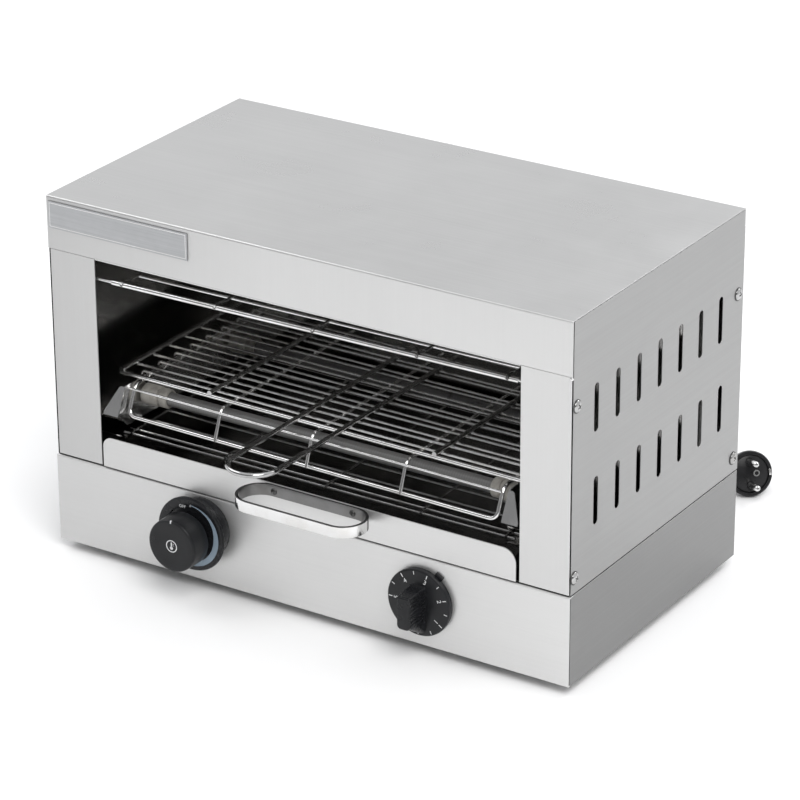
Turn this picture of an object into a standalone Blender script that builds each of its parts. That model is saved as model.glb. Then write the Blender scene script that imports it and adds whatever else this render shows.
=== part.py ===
"""Countertop quartz toaster with a wire rack, protective wire guards, a crumb tray and two front controls.

Millimetres are used for the design; at() turns them into metres. Design frame: x from the carcass's left edge,
y from its front face (back is +y), z from the underside of the base, feet below it.
"""

import math

import bmesh
import bpy
from mathutils import Matrix, Vector

# ---------------------------------------------------------------- driving dimensions (mm)
WIDTH = 450.0
DEPTH = 250.0
HEIGHT = 282.0  # base underside to top
FOOT_H = 8.0
BASE_H = 71.3
SHEET = 1.0
GAP = 0.3
SEAM_Z = 72.0
OPEN_X0, OPEN_X1 = 42.35, 409.0
OPEN_TOP = 240.0
LINER_X0, LINER_X1 = 16.5, 433.5  # inner faces of the chamber's side walls
LINER_BACK = 232.0
WEB_X = 57.3  # inner face of the left tube holder
ORIGIN_Y = 83.75  # middle of the whole depth, rack loop tip to back face

RACK_Z = 143.35  # centre height of the rods that run front to back
RACK_X = 225.6
RACK_HALF = 178.4
RACK_FRONT_Y = 22.2
RACK_Y1, RACK_PITCH, RACK_WIRES = 43.5, 20.6, 9
RACK_YAW = math.radians(-0.6)
LOOP_X, LOOP_R, LOOP_TIP_Y = 227.9, 19.4, -80.4
ROD_R = 2.1

GUARD_Z = 137.95  # centre height of the lower guard's cross wires
GUARD_HALF = 163.2
GUARD_YAW = math.radians(-1.0)
UPPER_Z = 222.2
UPPER_YAW = math.radians(1.0)
LOW_Z = 97.1

TUBE_Y = (35.0, 150.0)
TUBE_Z = (123.0, 248.0)
CERAMIC_X = 82.5  # inner end of the left ceramic ends

THERMO_X, THERMO_Z = 131.7, 42.85
TIMER_X, TIMER_Z = 328.4, 36.8

CORD_R = 3.75
COIL_X, COIL_Y = 285.0, 311.0
COIL_IN, COIL_OUT, COIL_H = 27.0, 51.0, 15.6
GLAND_X, GLAND_Z = 165.0, 16.0

# ---------------------------------------------------------------- scene and materials
for old in list(bpy.data.objects):
    bpy.data.objects.remove(old, do_unlink=True)

scene = bpy.context.scene
scene.unit_settings.system = "METRIC"
parts = bpy.data.collections.new("quartz_toaster")
cutters = bpy.data.collections.new("cutters")
scene.collection.children.link(parts)
scene.collection.children.link(cutters)


def material(name, rgb, rough, metal):
    mat = bpy.data.materials.new(name)
    mat.use_nodes = True
    shader = mat.node_tree.nodes["Principled BSDF"]
    shader.inputs["Base Color"].default_value = (*rgb, 1.0)
    shader.inputs["Roughness"].default_value = rough
    shader.inputs["Metallic"].default_value = metal
    mat.diffuse_color = (*rgb, 1.0)
    return mat


STEEL = material("satin_stainless", (0.62, 0.62, 0.61), 0.34, 1.0)
BRIGHT = material("polished_stainless", (0.70, 0.70, 0.70), 0.14, 1.0)
CHROME = material("chrome_wire", (0.78, 0.78, 0.78), 0.10, 1.0)
BLACK = material("black_plastic", (0.02, 0.021, 0.023), 0.38, 0.0)
CERAMIC = material("ceramic", (0.72, 0.71, 0.68), 0.6, 0.0)
QUARTZ = material("quartz_tube", (0.55, 0.55, 0.54), 0.25, 0.0)
RUBBER = material("rubber", (0.03, 0.03, 0.03), 0.8, 0.0)
BRASS = material("brass", (0.75, 0.58, 0.28), 0.3, 1.0)
BADGE = material("badge_plate", (0.45, 0.46, 0.47), 0.4, 1.0)
ZINC = material("zinc_steel", (0.5, 0.5, 0.5), 0.45, 1.0)


# ---------------------------------------------------------------- helpers
def at(x, y, z):
    return Vector(((x - WIDTH / 2) / 1000, (y - ORIGIN_Y) / 1000, (z + FOOT_H) / 1000))


def add(name, data, mat, where=parts):
    obj = bpy.data.objects.new(name, data)
    where.objects.link(obj)
    if mat is not None:
        data.materials.append(mat)
    return obj


def smooth(obj, degrees=35):
    obj.data.shade_smooth()
    obj.data.set_sharp_from_angle(angle=math.radians(degrees))
    return obj


def box_mesh(name, sx, sy, sz):
    bm = bmesh.new()
    bmesh.ops.create_cube(bm, size=1.0)
    bmesh.ops.scale(bm, verts=bm.verts, vec=(sx / 1000, sy / 1000, sz / 1000))
    mesh = bpy.data.meshes.new(name)
    bm.to_mesh(mesh)
    bm.free()
    return mesh


def box(name, lo, hi, mat, where=parts):
    mesh = box_mesh(name, hi[0] - lo[0], hi[1] - lo[1], hi[2] - lo[2])
    obj = add(name, mesh, mat, where)
    obj.location = at(*[(a + b) / 2 for a, b in zip(lo, hi)])
    return obj


def rod_mesh(name, radius, length, sides):
    """Cylinder along local Z, centred."""
    bm = bmesh.new()
    bmesh.ops.create_cone(
        bm, cap_ends=True, cap_tris=False, segments=sides, radius1=radius / 1000, radius2=radius / 1000,
        depth=length / 1000, matrix=Matrix.Rotation(math.pi / sides, 4, "Z"),
    )
    mesh = bpy.data.meshes.new(name)
    bm.to_mesh(mesh)
    bm.free()
    return mesh


def rod(name, start, end, radius, sides, mat, where=parts):
    a, b = at(*start), at(*end)
    obj = add(name, rod_mesh(name, radius, (b - a).length * 1000, sides), mat, where)
    obj.rotation_mode = "QUATERNION"
    obj.rotation_quaternion = (b - a).to_track_quat("Z", "Y")
    obj.location = (a + b) / 2
    return obj


def bake(obj):
    """Replace the object's data by its evaluated mesh, with loose caps welded; returns a mesh object."""
    bpy.context.view_layer.update()
    graph = bpy.context.evaluated_depsgraph_get()
    mesh = bpy.data.meshes.new_from_object(obj.evaluated_get(graph))
    bm = bmesh.new()
    bm.from_mesh(mesh)
    bmesh.ops.remove_doubles(bm, verts=bm.verts, dist=0.000002)
    bm.to_mesh(mesh)
    bm.free()
    name, world = obj.name, obj.matrix_world.copy()
    mats = [m for m in obj.data.materials]
    holders = list(obj.users_collection)
    bpy.data.objects.remove(obj, do_unlink=True)
    made = bpy.data.objects.new(name, mesh)
    mesh.name = name
    if not mesh.materials and mats:
        mesh.materials.append(mats[0])
    for holder in holders:
        holder.objects.link(made)
    made.matrix_world = world
    return made


def join_meshes(name, objs, mat, where=parts):
    """Several mesh objects put in one mesh object in world space."""
    bpy.context.view_layer.update()
    bm = bmesh.new()
    for obj in objs:
        temp = obj.data.copy()
        temp.transform(obj.matrix_world)
        bm.from_mesh(temp)
        bpy.data.meshes.remove(temp)
        bpy.data.objects.remove(obj, do_unlink=True)
    mesh = bpy.data.meshes.new(name)
    bm.to_mesh(mesh)
    bm.free()
    mesh.materials.clear()
    return add(name, mesh, mat, where)


def as_cutter(obj):
    for holder in list(obj.users_collection):
        holder.objects.unlink(obj)
    cutters.objects.link(obj)
    obj.hide_render = True
    obj.display_type = "WIRE"
    return obj


def boolean(obj, tool, operation):
    mod = obj.modifiers.new(operation.lower(), "BOOLEAN")
    mod.object = as_cutter(tool)
    mod.operation = operation
    mod.solver = "EXACT"
    return obj


def union_of(name, groups, mat):
    """One closed body from groups of meshes that cross each other."""
    base = groups[0]
    base.name = name
    for index, other in enumerate(groups[1:]):
        boolean(base, other, "UNION")
        base = bake(base)
    base.name = name
    base.data.materials.clear()
    base.data.materials.append(mat)
    for polygon in base.data.polygons:
        polygon.material_index = 0
    return smooth(base, 40)


def in_parts(obj):
    for holder in list(obj.users_collection):
        holder.objects.unlink(obj)
    parts.objects.link(obj)
    obj.hide_render = False
    obj.display_type = "TEXTURED"
    return obj


def curve_data(name, dims):
    data = bpy.data.curves.new(name, "CURVE")
    data.dimensions = dims
    data.resolution_u = 1
    return data


def add_spline(data, points, closed, z=None):
    spline = data.splines.new("POLY")
    spline.points.add(len(points) - 1)
    for slot, p in zip(spline.points, points):
        if len(p) == 2:
            slot.co = (p[0] / 1000, p[1] / 1000, 0.0, 1.0)
        else:
            slot.co = (p[0] / 1000, p[1] / 1000, p[2] / 1000, 1.0)
    spline.use_cyclic_u = closed
    return spline


PLANES = {"XY": (0, 0, 0), "XZ": (math.radians(90), 0, 0), "YZ": (math.radians(90), 0, math.radians(90))}


def plate(name, outlines, thickness, plane, origin, mat, where=parts):
    """Flat outline (first outline outer, the rest holes) extruded by its thickness about its own plane.

    XZ: outline x, z; its thickness runs along y. YZ: outline y, z; thickness along x. XY: outline x, y."""
    data = curve_data(name, "2D")
    data.fill_mode = "BOTH"
    data.extrude = thickness / 2000
    for outline in outlines:
        add_spline(data, outline, True)
    obj = add(name, data, mat, where)
    obj.rotation_euler = PLANES[plane]
    obj.location = at(*origin)
    return obj


def tube(name, points, radius, resolution, mat, where=parts):
    """Round tube through design points, origin at the carcass corner."""
    data = curve_data(name, "3D")
    data.bevel_depth = radius / 1000
    data.bevel_resolution = resolution
    data.use_fill_caps = True
    add_spline(data, points, False)
    obj = add(name, data, mat, where)
    obj.location = at(0, 0, 0)
    return obj


def arc(cx, cy, r, a0, a1, n):
    return [(cx + r * math.cos(math.radians(a0 + (a1 - a0) * i / n)), cy + r * math.sin(math.radians(a0 + (a1 - a0) * i / n))) for i in range(n + 1)]


def stadium(cx, cy, half_len, r, n=8, vertical=True):
    """Slot outline with round ends."""
    if vertical:
        return arc(cx, cy + half_len - r, r, 0, 180, n) + arc(cx, cy - half_len + r, r, 180, 360, n)
    return arc(cx + half_len - r, cy, r, -90, 90, n) + arc(cx - half_len + r, cy, r, 90, 270, n)


def turned(name, profile, steps, mat, where=parts):
    """Body of revolution about local Z from (radius, height) points, top first."""
    mesh = bpy.data.meshes.new(name)
    verts = [(r / 1000, 0.0, h / 1000) for r, h in profile]
    mesh.from_pydata(verts, [(i, i + 1) for i in range(len(verts) - 1)], [])
    obj = add(name, mesh, mat, where)
    mod = obj.modifiers.new("turn", "SCREW")
    mod.angle = 2 * math.pi
    mod.steps = steps
    mod.render_steps = steps
    mod.use_merge_vertices = True
    mod.merge_threshold = 0.00001
    mod.use_smooth_shade = True
    return obj


def face_front(obj, x, y, z):
    """Turned body whose top points to the front (-Y)."""
    obj.rotation_euler = (math.radians(90), 0, 0)
    obj.location = at(x, y, z)
    return obj


def catmull(points, per):
    """Smooth curve through the points."""
    out = []
    ext = [points[0] * 2 - points[1]] + list(points) + [points[-1] * 2 - points[-2]]
    for i in range(1, len(ext) - 2):
        p0, p1, p2, p3 = ext[i - 1], ext[i], ext[i + 1], ext[i + 2]
        for k in range(per):
            t = k / per
            out.append(0.5 * ((2 * p1) + (p2 - p0) * t + (2 * p0 - 5 * p1 + 4 * p2 - p3) * t * t + (3 * p1 - p0 - 3 * p2 + p3) * t ** 3))
    out.append(points[-1].copy())
    return out


def even(points, step):
    """Points spaced evenly along a polyline."""
    lengths = [0.0]
    for a, b in zip(points, points[1:]):
        lengths.append(lengths[-1] + (b - a).length)
    count = max(2, round(lengths[-1] / step))
    out, j = [], 0
    for i in range(count + 1):
        target = lengths[-1] * i / count
        while j < len(points) - 2 and lengths[j + 1] < target:
            j += 1
        span = lengths[j + 1] - lengths[j]
        t = 0 if span == 0 else (target - lengths[j]) / span
        out.append(points[j].lerp(points[j + 1], min(1.0, t)))
    return out


def turn_about(obj, x, y, angle):
    """Rotate an object about a vertical line through design x, y."""
    bpy.context.view_layer.update()
    pivot = at(x, y, 0)
    obj.matrix_world = Matrix.Translation(pivot) @ Matrix.Rotation(angle, 4, "Z") @ Matrix.Translation(-pivot) @ obj.matrix_world
    return obj


# ---------------------------------------------------------------- base
E = 0.5  # the base stands this far outside the upper body
base_outline = (
    [(-E, DEPTH - 1.6)]
    + arc(-E + 1.6, -E + 1.6, 1.6, 180, 270, 3)
    + arc(WIDTH + E - 1.6, -E + 1.6, 1.6, 270, 360, 3)
    + [(WIDTH + E, DEPTH - 1.6), (WIDTH + E - SHEET, DEPTH - 1.6), (WIDTH + E - SHEET, -E + SHEET), (-E + SHEET, -E + SHEET), (-E + SHEET, DEPTH - 1.6)]
)
housing = bake(plate("base_housing", [base_outline], BASE_H, "XY", (0, 0, BASE_H / 2), STEEL))
for index, (hx, hz) in enumerate(((THERMO_X, THERMO_Z), (TIMER_X, TIMER_Z))):
    hole = rod(f"shaft_hole_{index}", (hx, -4, hz), (hx, 4, hz), 5.0, 20, None, cutters)
    boolean(housing, hole, "DIFFERENCE")
housing = bake(housing)

back_outline = [(0.9, 1.5), (WIDTH - 0.9, 1.5), (WIDTH - 0.9, BASE_H - 0.6), (0.9, BASE_H - 0.6)]
gland_hole = arc(GLAND_X, GLAND_Z, 6.4, 0, 345, 23)
plate("base_back_panel", [back_outline, gland_hole], SHEET, "XZ", (0, DEPTH - 0.5, 0), STEEL)
plate("base_bottom_plate", [[(1.0, 1.0), (WIDTH - 1.0, 1.0), (WIDTH - 1.0, DEPTH - 2.2), (1.0, DEPTH - 2.2)]], SHEET, "XY", (0, 0, 0.6), ZINC)

for index, (fx, fy) in enumerate(((38, 38), (WIDTH - 38, 38), (38, DEPTH - 38), (WIDTH - 38, DEPTH - 38))):
    foot = turned(
        ("foot_front_left", "foot_front_right", "foot_rear_left", "foot_rear_right")[index],
        [(0, 7.8), (11.0, 7.8), (11.0, 6.0), (9.5, 0.8), (8.7, 0.0), (0, 0)],
        24,
        RUBBER,
    )
    foot.location = at(fx, fy, -FOOT_H)

plate("chamber_floor", [[(1.6, 1.6), (WIDTH - 1.6, 1.6), (WIDTH - 1.6, DEPTH - 1.6), (1.6, DEPTH - 1.6)]], 0.8, "XY", (0, 0, SEAM_Z + 0.2), BRIGHT)

# ---------------------------------------------------------------- upper casing
cover_profile = (
    arc(1.6, HEIGHT - 1.6, 1.6, 180, 90, 4)
    + arc(DEPTH - 1.6, HEIGHT - 1.6, 1.6, 90, 0, 4)
    + [(DEPTH, HEIGHT - 14), (DEPTH - SHEET, HEIGHT - 14), (DEPTH - SHEET, HEIGHT - SHEET), (SHEET, HEIGHT - SHEET), (SHEET, OPEN_TOP + 0.2), (0, OPEN_TOP + 0.2)]
)
plate("top_cover", [cover_profile], WIDTH, "YZ", (WIDTH / 2, 0, 0), STEEL)

stile_left = [(2.0, 0.0), (OPEN_X0, 0.0), (OPEN_X0, SHEET), (2.0, SHEET)]
stile_right = [(OPEN_X1, 0.0), (WIDTH - 0.6, 0.0), (WIDTH - 0.6, SHEET), (OPEN_X1, SHEET)]
STILE_LO, STILE_HI = SEAM_Z + 0.8, OPEN_TOP - 0.1
for name, outline in (("front_stile_left", stile_left), ("front_stile_right", stile_right)):
    plate(name, [outline], STILE_HI - STILE_LO, "XY", (0, 0, (STILE_HI + STILE_LO) / 2), STEEL)

slots = []
for row_y, row_step, row_z in ((34.0, 30.2, 205.2), (35.0, 30.5, 133.2)):
    for k in range(7):
        slots.append(stadium(row_y + row_step * k, row_z, 18.6, 3.0, 5))
side_outline = [(1.3, SEAM_Z + 0.3), (DEPTH - 0.3, SEAM_Z + 0.3), (DEPTH - 0.3, HEIGHT - 14.3), (DEPTH - 1.3, HEIGHT - 14.3), (DEPTH - 1.3, HEIGHT - 1.3), (1.3, HEIGHT - 1.3)]
plate("side_panel_left", [side_outline] + slots, SHEET, "YZ", (SHEET / 2, 0, 0), STEEL)
plate("side_panel_right", [side_outline] + slots, SHEET, "YZ", (WIDTH - SHEET / 2, 0, 0), STEEL)

back_low, back_high = SEAM_Z + 0.9, HEIGHT - 14.3
back_slots = [stadium(225.0 + 30.0 * k, 210.0, 18.0, 2.0, 5) for k in (-4, -3, -2, -1, 0, 1, 2, 3, 4)]
plate("back_panel", [[(1.3, back_low), (WIDTH - 1.3, back_low), (WIDTH - 1.3, back_high), (1.3, back_high)]] + back_slots, SHEET, "XZ", (0, DEPTH - 0.5, 0), STEEL)

# ---------------------------------------------------------------- heating chamber
LINER_LO, LINER_HI = 94.8, 262.0


def mirrored(outline):
    """The same outline for the right-hand side."""
    return [(WIDTH - x, z) for x, z in reversed(outline)]


liner = [(LINER_X0 - 0.8, LINER_HI), (LINER_X0 - 0.8, LINER_LO), (WEB_X, LINER_LO), (WEB_X, LINER_LO + 0.9), (LINER_X0, LINER_LO + 0.9), (LINER_X0, LINER_HI)]
plate("liner_left", [liner], LINER_BACK - 10.0, "XZ", (0, (LINER_BACK + 10.0) / 2, 0), BRIGHT)
plate("liner_right", [mirrored(liner)], LINER_BACK - 10.0, "XZ", (0, (LINER_BACK + 10.0) / 2, 0), BRIGHT)
box("liner_back", (LINER_X0 - 0.8, LINER_BACK + GAP, SEAM_Z + 0.9), (LINER_X1 + 0.8, LINER_BACK + 1.1, LINER_HI), BRIGHT)
roof = [
    (LINER_X0 - 0.8, LINER_HI + 1.1), (LINER_X0 - 0.8, LINER_HI + GAP), (WEB_X - 0.9, LINER_HI + GAP), (WEB_X - 0.9, 240.6), (WEB_X, 240.6), (WEB_X, LINER_HI + GAP),
    (WIDTH - WEB_X, LINER_HI + GAP), (WIDTH - WEB_X, 240.6), (WIDTH - WEB_X + 0.9, 240.6), (WIDTH - WEB_X + 0.9, LINER_HI + GAP), (LINER_X1 + 0.8, LINER_HI + GAP), (LINER_X1 + 0.8, LINER_HI + 1.1),
]
plate("top_reflector", [roof], LINER_BACK - 1.6, "XZ", (0, (LINER_BACK + 1.6) / 2, 0), BRIGHT)

# Tube holders: an upright web beside the ceramic ends, a shelf to the chamber wall and a leaning front flange.
LEAN = math.atan2(10.1, 20.5)
for side, sign in (("left", 1), ("right", -1)):
    def sx(value):
        return value if sign > 0 else WIDTH - value

    web_outline = [(13.0, 136.2), (228.0, 136.2), (228.0, 104.0), (13.0, 104.0), (4.6, 113.6), (3.0, 116.0)]
    web = bake(plate(f"web_{side}", [web_outline], 0.9, "YZ", (sx(WEB_X - 0.45), 0, 0), None, cutters))
    shelf = box(f"shelf_{side}", (min(sx(LINER_X0 + GAP), sx(WEB_X - 0.4)), 16.0, 104.2), (max(sx(LINER_X0 + GAP), sx(WEB_X - 0.4)), 226.0, 105.1), None, cutters)
    flange_outline = [(-13.4, 0.0), (0.0, 0.0), (0.0, 23.4), (-3.6, 23.4), (-5.0, 22.4), (-12.6, 4.4), (-13.4, 2.0)]
    flange = plate(f"flange_{side}", [[(sign * x, h) for x, h in flange_outline]], 0.9, "XZ", (sx(WEB_X), 2.0, 114.5), None, cutters)
    flange.rotation_euler = (math.radians(90) - LEAN, 0, 0)
    in_parts(union_of(f"tube_holder_{side}", [web, shelf, bake(flange)], BRIGHT))

# Quartz tubes with ceramic ends
CER_R, GLASS_R = 8.0, 5.3
for row, tz in (("lower", TUBE_Z[0]), ("upper", TUBE_Z[1])):
    for col, ty in (("front", TUBE_Y[0]), ("rear", TUBE_Y[1])):
        glass = rod(f"quartz_tube_{row}_{col}", (CERAMIC_X - 6, ty, tz), (WIDTH - CERAMIC_X + 6, ty, tz), GLASS_R, 16, QUARTZ)
        smooth(glass)
        for side in ("left", "right"):
            cap = turned(
                f"ceramic_{row}_{col}_{side}",
                [(0, 24.4), (CER_R - 1.2, 24.4), (CER_R, 23.2), (CER_R, 1.2), (CER_R - 1.2, 0.0), (GLASS_R + 0.3, 0.0), (GLASS_R + 0.3, 6.3), (0, 6.3)],
                20,
                CERAMIC,
            )
            cap.rotation_euler = (0, math.radians(-90 if side == "left" else 90), 0)
            cap.location = at(CERAMIC_X if side == "left" else WIDTH - CERAMIC_X, ty, tz)


# ---------------------------------------------------------------- wire goods
def wires_x(name, x0, x1, ys, z, r, sides=8):
    return join_meshes(name, [rod(f"{name}_{i}", (x0, y, z), (x1, y, z), r, sides, None, cutters) for i, y in enumerate(ys)], None, cutters)


def wires_y(name, xs, y0, y1, z, r, sides=8):
    return join_meshes(name, [rod(f"{name}_{i}", (x, y0, z), (x, y1, z), r, sides, None, cutters) for i, x in enumerate(xs)], None, cutters)


# Rack: cross wires, two side rods, two inner rods and a hairpin whose bow is the grip.
rack_ys = [RACK_Y1 + RACK_PITCH * k for k in range(RACK_WIRES)]
x_lo, x_hi = RACK_X - RACK_HALF, RACK_X + RACK_HALF
cross = wires_x("rack_cross", x_lo - 0.8, x_hi + 0.8, rack_ys, 140.5, 1.15)
front = wires_x("rack_front", x_lo - 1.4, x_hi + 1.4, [RACK_FRONT_Y], 141.1, 1.75)
rails = wires_y("rack_rails", [x_lo, RACK_X - 97.0, RACK_X + 101.0, x_hi], RACK_FRONT_Y - 1.4, rack_ys[-1] + 1.6, RACK_Z, ROD_R)
loop_pts = (
    [(LOOP_X - LOOP_R, rack_ys[-1] + 1.6), (LOOP_X - LOOP_R, 100.0), (LOOP_X - LOOP_R, 0.0)]
    + arc(LOOP_X, LOOP_TIP_Y + LOOP_R, LOOP_R, 180, 360, 14)
    + [(LOOP_X + LOOP_R, 0.0), (LOOP_X + LOOP_R, 100.0), (LOOP_X + LOOP_R, rack_ys[-1] + 1.6)]
)
loop = bake(tube("rack_loop", [(x, y, RACK_Z) for x, y in loop_pts], ROD_R - 0.1, 2, None, cutters))
rack = in_parts(union_of("wire_rack", [cross, front, rails, loop], CHROME))
turn_about(rack, RACK_X, 110.0, RACK_YAW)

# Lower guard: grid over the lower tubes with a dropped front.
gx0, gx1 = 225.0 - GUARD_HALF, 225.0 + GUARD_HALF
frame_z = GUARD_Z - 2.35
guard_ys = [37.0 + 20.25 * k for k in range(8)]
g_cross = wires_x("guard_cross", gx0 - 6.5, gx1 + 6.5, guard_ys, GUARD_Z, 1.05)
g_front = wires_x("guard_front", gx0 - 1.2, gx1 + 1.2, [14.0], 133.5, 1.0)
leg = [(24.0, 0.0), (20.5, -0.5), (17.8, -2.6), (16.2, -5.4), (12.2, -15.4)]
frame_pts = (
    [(gx0, 190.0, frame_z)]
    + [(gx0, y, frame_z + drop) for y, drop in leg]
    + [(gx0 + 0.7, 11.0, 117.0), (gx0 + 2.6, 10.2, 114.6), (gx0 + 6.0, 9.8, 113.2), (gx0 + 9.0, 9.8, 113.0)]
    + [(gx1 - 9.0, 9.8, 113.0), (gx1 - 6.0, 9.8, 113.2), (gx1 - 2.6, 10.2, 114.6), (gx1 - 0.7, 11.0, 117.0)]
    + [(gx1, y, frame_z + drop) for y, drop in reversed(leg)]
    + [(gx1, 190.0, frame_z)]
)
g_frame = bake(tube("guard_frame", frame_pts, 1.65, 2, None, cutters))
posts = []
for index, px in enumerate((225.0 - 82.2, 225.0, 225.0 + 82.2)):
    route = [(px, 190.0, frame_z + 0.3), (px, 24.0, frame_z + 0.3), (px, 19.0, frame_z - 0.1), (px, 15.6, frame_z - 1.6), (px, 13.8, frame_z - 4.0), (px, 7.6, 113.4), (px, 7.4, 112.0)]
    posts.append(bake(tube(f"guard_post_{index}", route, 1.3, 2, None, cutters)))
g_posts = join_meshes("guard_posts", posts, None, cutters)
lower_guard = in_parts(union_of("lower_guard", [g_frame, g_posts, g_cross, g_front], CHROME))
turn_about(lower_guard, 225.0, 110.0, GUARD_YAW)

# Upper guard: flat grid under the upper tubes; its first and last wires reach the chamber walls.
upper_ys = [28.5 + 19.5 * k for k in range(8)]
u_cross = wires_x("upper_cross", 62.0, 394.0, upper_ys, UPPER_Z, 1.1)
u_long = join_meshes(
    "upper_long",
    [
        rod("upper_long_front", (15.7, 6.3, UPPER_Z + 0.9), (431.0, 6.3, UPPER_Z + 0.9), 1.1, 8, None, cutters),
        rod("upper_long_rear", (18.7, 184.5, UPPER_Z), (433.7, 184.5, UPPER_Z), 1.1, 8, None, cutters),
    ],
    None,
    cutters,
)
u_sleeve = wires_x("upper_sleeve", 54.0, 400.0, [6.3], UPPER_Z + 0.9, 2.05)
u_bars = wires_y("upper_bars", [64.0, 146.5, 231.0, 318.5, 392.0], 5.6, 187.0, UPPER_Z + 1.9, 1.25)
upper_guard = in_parts(union_of("upper_guard", [u_bars, u_long, u_sleeve, u_cross], CHROME))
turn_about(upper_guard, 225.0, 110.0, UPPER_YAW)

# Low grid between the lower tubes and the crumb tray, on the chamber walls' ledges.
low_ys = [15.0, 23.0] + [43.0 + 20.0 * k for k in range(8)]
f_cross = wires_x("low_cross", 53.4, WIDTH - 53.4, low_ys, LOW_Z, 1.1)
f_bars = wires_y("low_bars", [60.5, 146.0, 236.0, 318.0, WIDTH - 60.5], 13.4, low_ys[-1] + 2.5, LOW_Z + 1.75, 1.1)
in_parts(union_of("low_grid", [f_cross, f_bars], CHROME))

# ---------------------------------------------------------------- crumb tray
tray_slide = bpy.data.objects.new("crumb_tray_slide", None)
parts.objects.link(tray_slide)
tray_slide.location = at(226.0, 0.0, 85.0)
rack_slide = bpy.data.objects.new("wire_rack_slide", None)
parts.objects.link(rack_slide)
rack_slide.location = at(RACK_X, 0.0, RACK_Z)

TX0, TX1, TZ0, TZ1 = 44.5, 406.7, 72.7, 97.2
PAN_Z = 73.0
front_plate = [(TX0, TZ0)] + [(TX1, TZ0)] + arc(TX1 - 11.0, TZ1 - 11.0, 11.0, 0, 90, 6) + arc(TX0 + 8.0, TZ1 - 8.0, 8.0, 90, 180, 6)
tray_front = bake(plate("tray_front", [front_plate], SHEET, "XZ", (0, -0.5, 0), None, cutters))
pan_outer = box("tray_pan", (48.0, -0.5, PAN_Z), (404.0, 226.0, 90.0), None, cutters)
pan_inner = box("tray_hollow", (48.8, 0.3, PAN_Z + 0.8), (403.2, 225.2, 99.0), None, cutters)
pan = bake(boolean(pan_outer, pan_inner, "DIFFERENCE"))
tray = in_parts(union_of("crumb_tray", [tray_front, pan], STEEL))

HX0, HX1, HY0, HY1, HT = 182.2, 291.7, -1.3, -37.5, 2.4
h_mid, h_len, h_rad = (HX0 + HX1) / 2, (HX1 - HX0) / 2, (HY0 - HY1) / 2
handle_out = stadium(h_mid, (HY0 + HY1) / 2, h_len, h_rad, 14, vertical=False)
handle_in = stadium(h_mid, (HY0 + HY1) / 2, h_len - HT, h_rad - HT, 14, vertical=False)
handle = plate("tray_handle", [handle_out, handle_in], 9.0, "XY", (0, 0, 92.6), CHROME)
for index, hx in enumerate((202.2, 270.7)):
    screw = turned(f"handle_screw_{index + 1}", [(0, 1.5), (1.6, 1.4), (2.7, 0.6), (3.0, 0.0), (0, 0)], 14, CHROME)
    face_front(screw, hx, HY0 - HT - 0.3, 92.4)
for child in [tray, handle] + [bpy.data.objects[f"handle_screw_{i}"] for i in (1, 2)]:
    bpy.context.view_layer.update()
    child.parent = tray_slide
    child.matrix_parent_inverse = tray_slide.matrix_world.inverted()
rack.parent = rack_slide
bpy.context.view_layer.update()
rack.matrix_parent_inverse = rack_slide.matrix_world.inverted()

# ---------------------------------------------------------------- badge and side screws
badge_outline = [(2.0, 257.0), (128.0, 257.0), (128.0, 278.2), (2.0, 278.2)]
plate("badge_plate", [badge_outline], 0.6, "XZ", (0, -0.6, 0), BADGE)

for side, x, turn in (("left", -0.3, -90), ("right", WIDTH + 0.3, 90)):
    for label, y, z in (("front_high", 7.3, 216.0), ("front_low", 7.0, 84.0), ("rear_high", 242.0, 216.5), ("rear_low", 242.0, 83.5)):
        screw = turned(f"screw_{side}_{label}", [(0, 1.9), (2.4, 1.7), (4.4, 0.9), (5.0, 0.0), (0, 0)], 14, ZINC)
        screw.rotation_euler = (0, math.radians(turn), 0)
        screw.location = at(x, y, z)

# ---------------------------------------------------------------- thermostat control
# A wide printed flange on a smaller boss, which sits towards the upper right as the photograph shows it.
flange = turned("thermostat_flange", [(0, 12.0), (28.2, 12.0), (29.2, 11.2), (29.6, 10.0), (29.2, 8.8), (28.0, 8.2), (0, 8.2)], 44, None, cutters)
flange = bake(face_front(flange, THERMO_X, -0.8, THERMO_Z))
boss = turned("thermostat_boss", [(0, 9.4), (23.8, 9.4), (23.8, 0.6), (23.4, 0.0), (0, 0.0)], 44, None, cutters)
boss = bake(face_front(boss, THERMO_X + 4.2, -0.8, THERMO_Z + 3.2))
shaft_way = rod("thermostat_shaft_way", (THERMO_X, -20, THERMO_Z), (THERMO_X, 4, THERMO_Z), 7.0, 28, None, cutters)
bezel_solid = bake(boolean(bake(boolean(flange, boss, "UNION")), shaft_way, "DIFFERENCE"))
in_parts(union_of("thermostat_bezel", [bezel_solid], BLACK))
cap = turned(
    "thermostat_knob",
    [(0, 23.7), (18.8, 23.7), (20.1, 23.3), (20.7, 22.2), (20.8, 19.0), (21.0, 6.0), (20.5, 5.4), (16.0, 5.4), (16.0, 0.0), (3.0, 0.0), (3.0, -22.8), (0, -22.8)],
    44,
    BLACK,
)
face_front(cap, THERMO_X, -13.1, THERMO_Z)
body = turned("thermostat_body", [(0, 33.0), (6.0, 33.0), (6.0, 30.0), (21.0, 30.0), (21.0, 0.0), (0, 0.0)], 24, ZINC)
face_front(body, THERMO_X, 43.1, THERMO_Z - 2.0)

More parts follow.
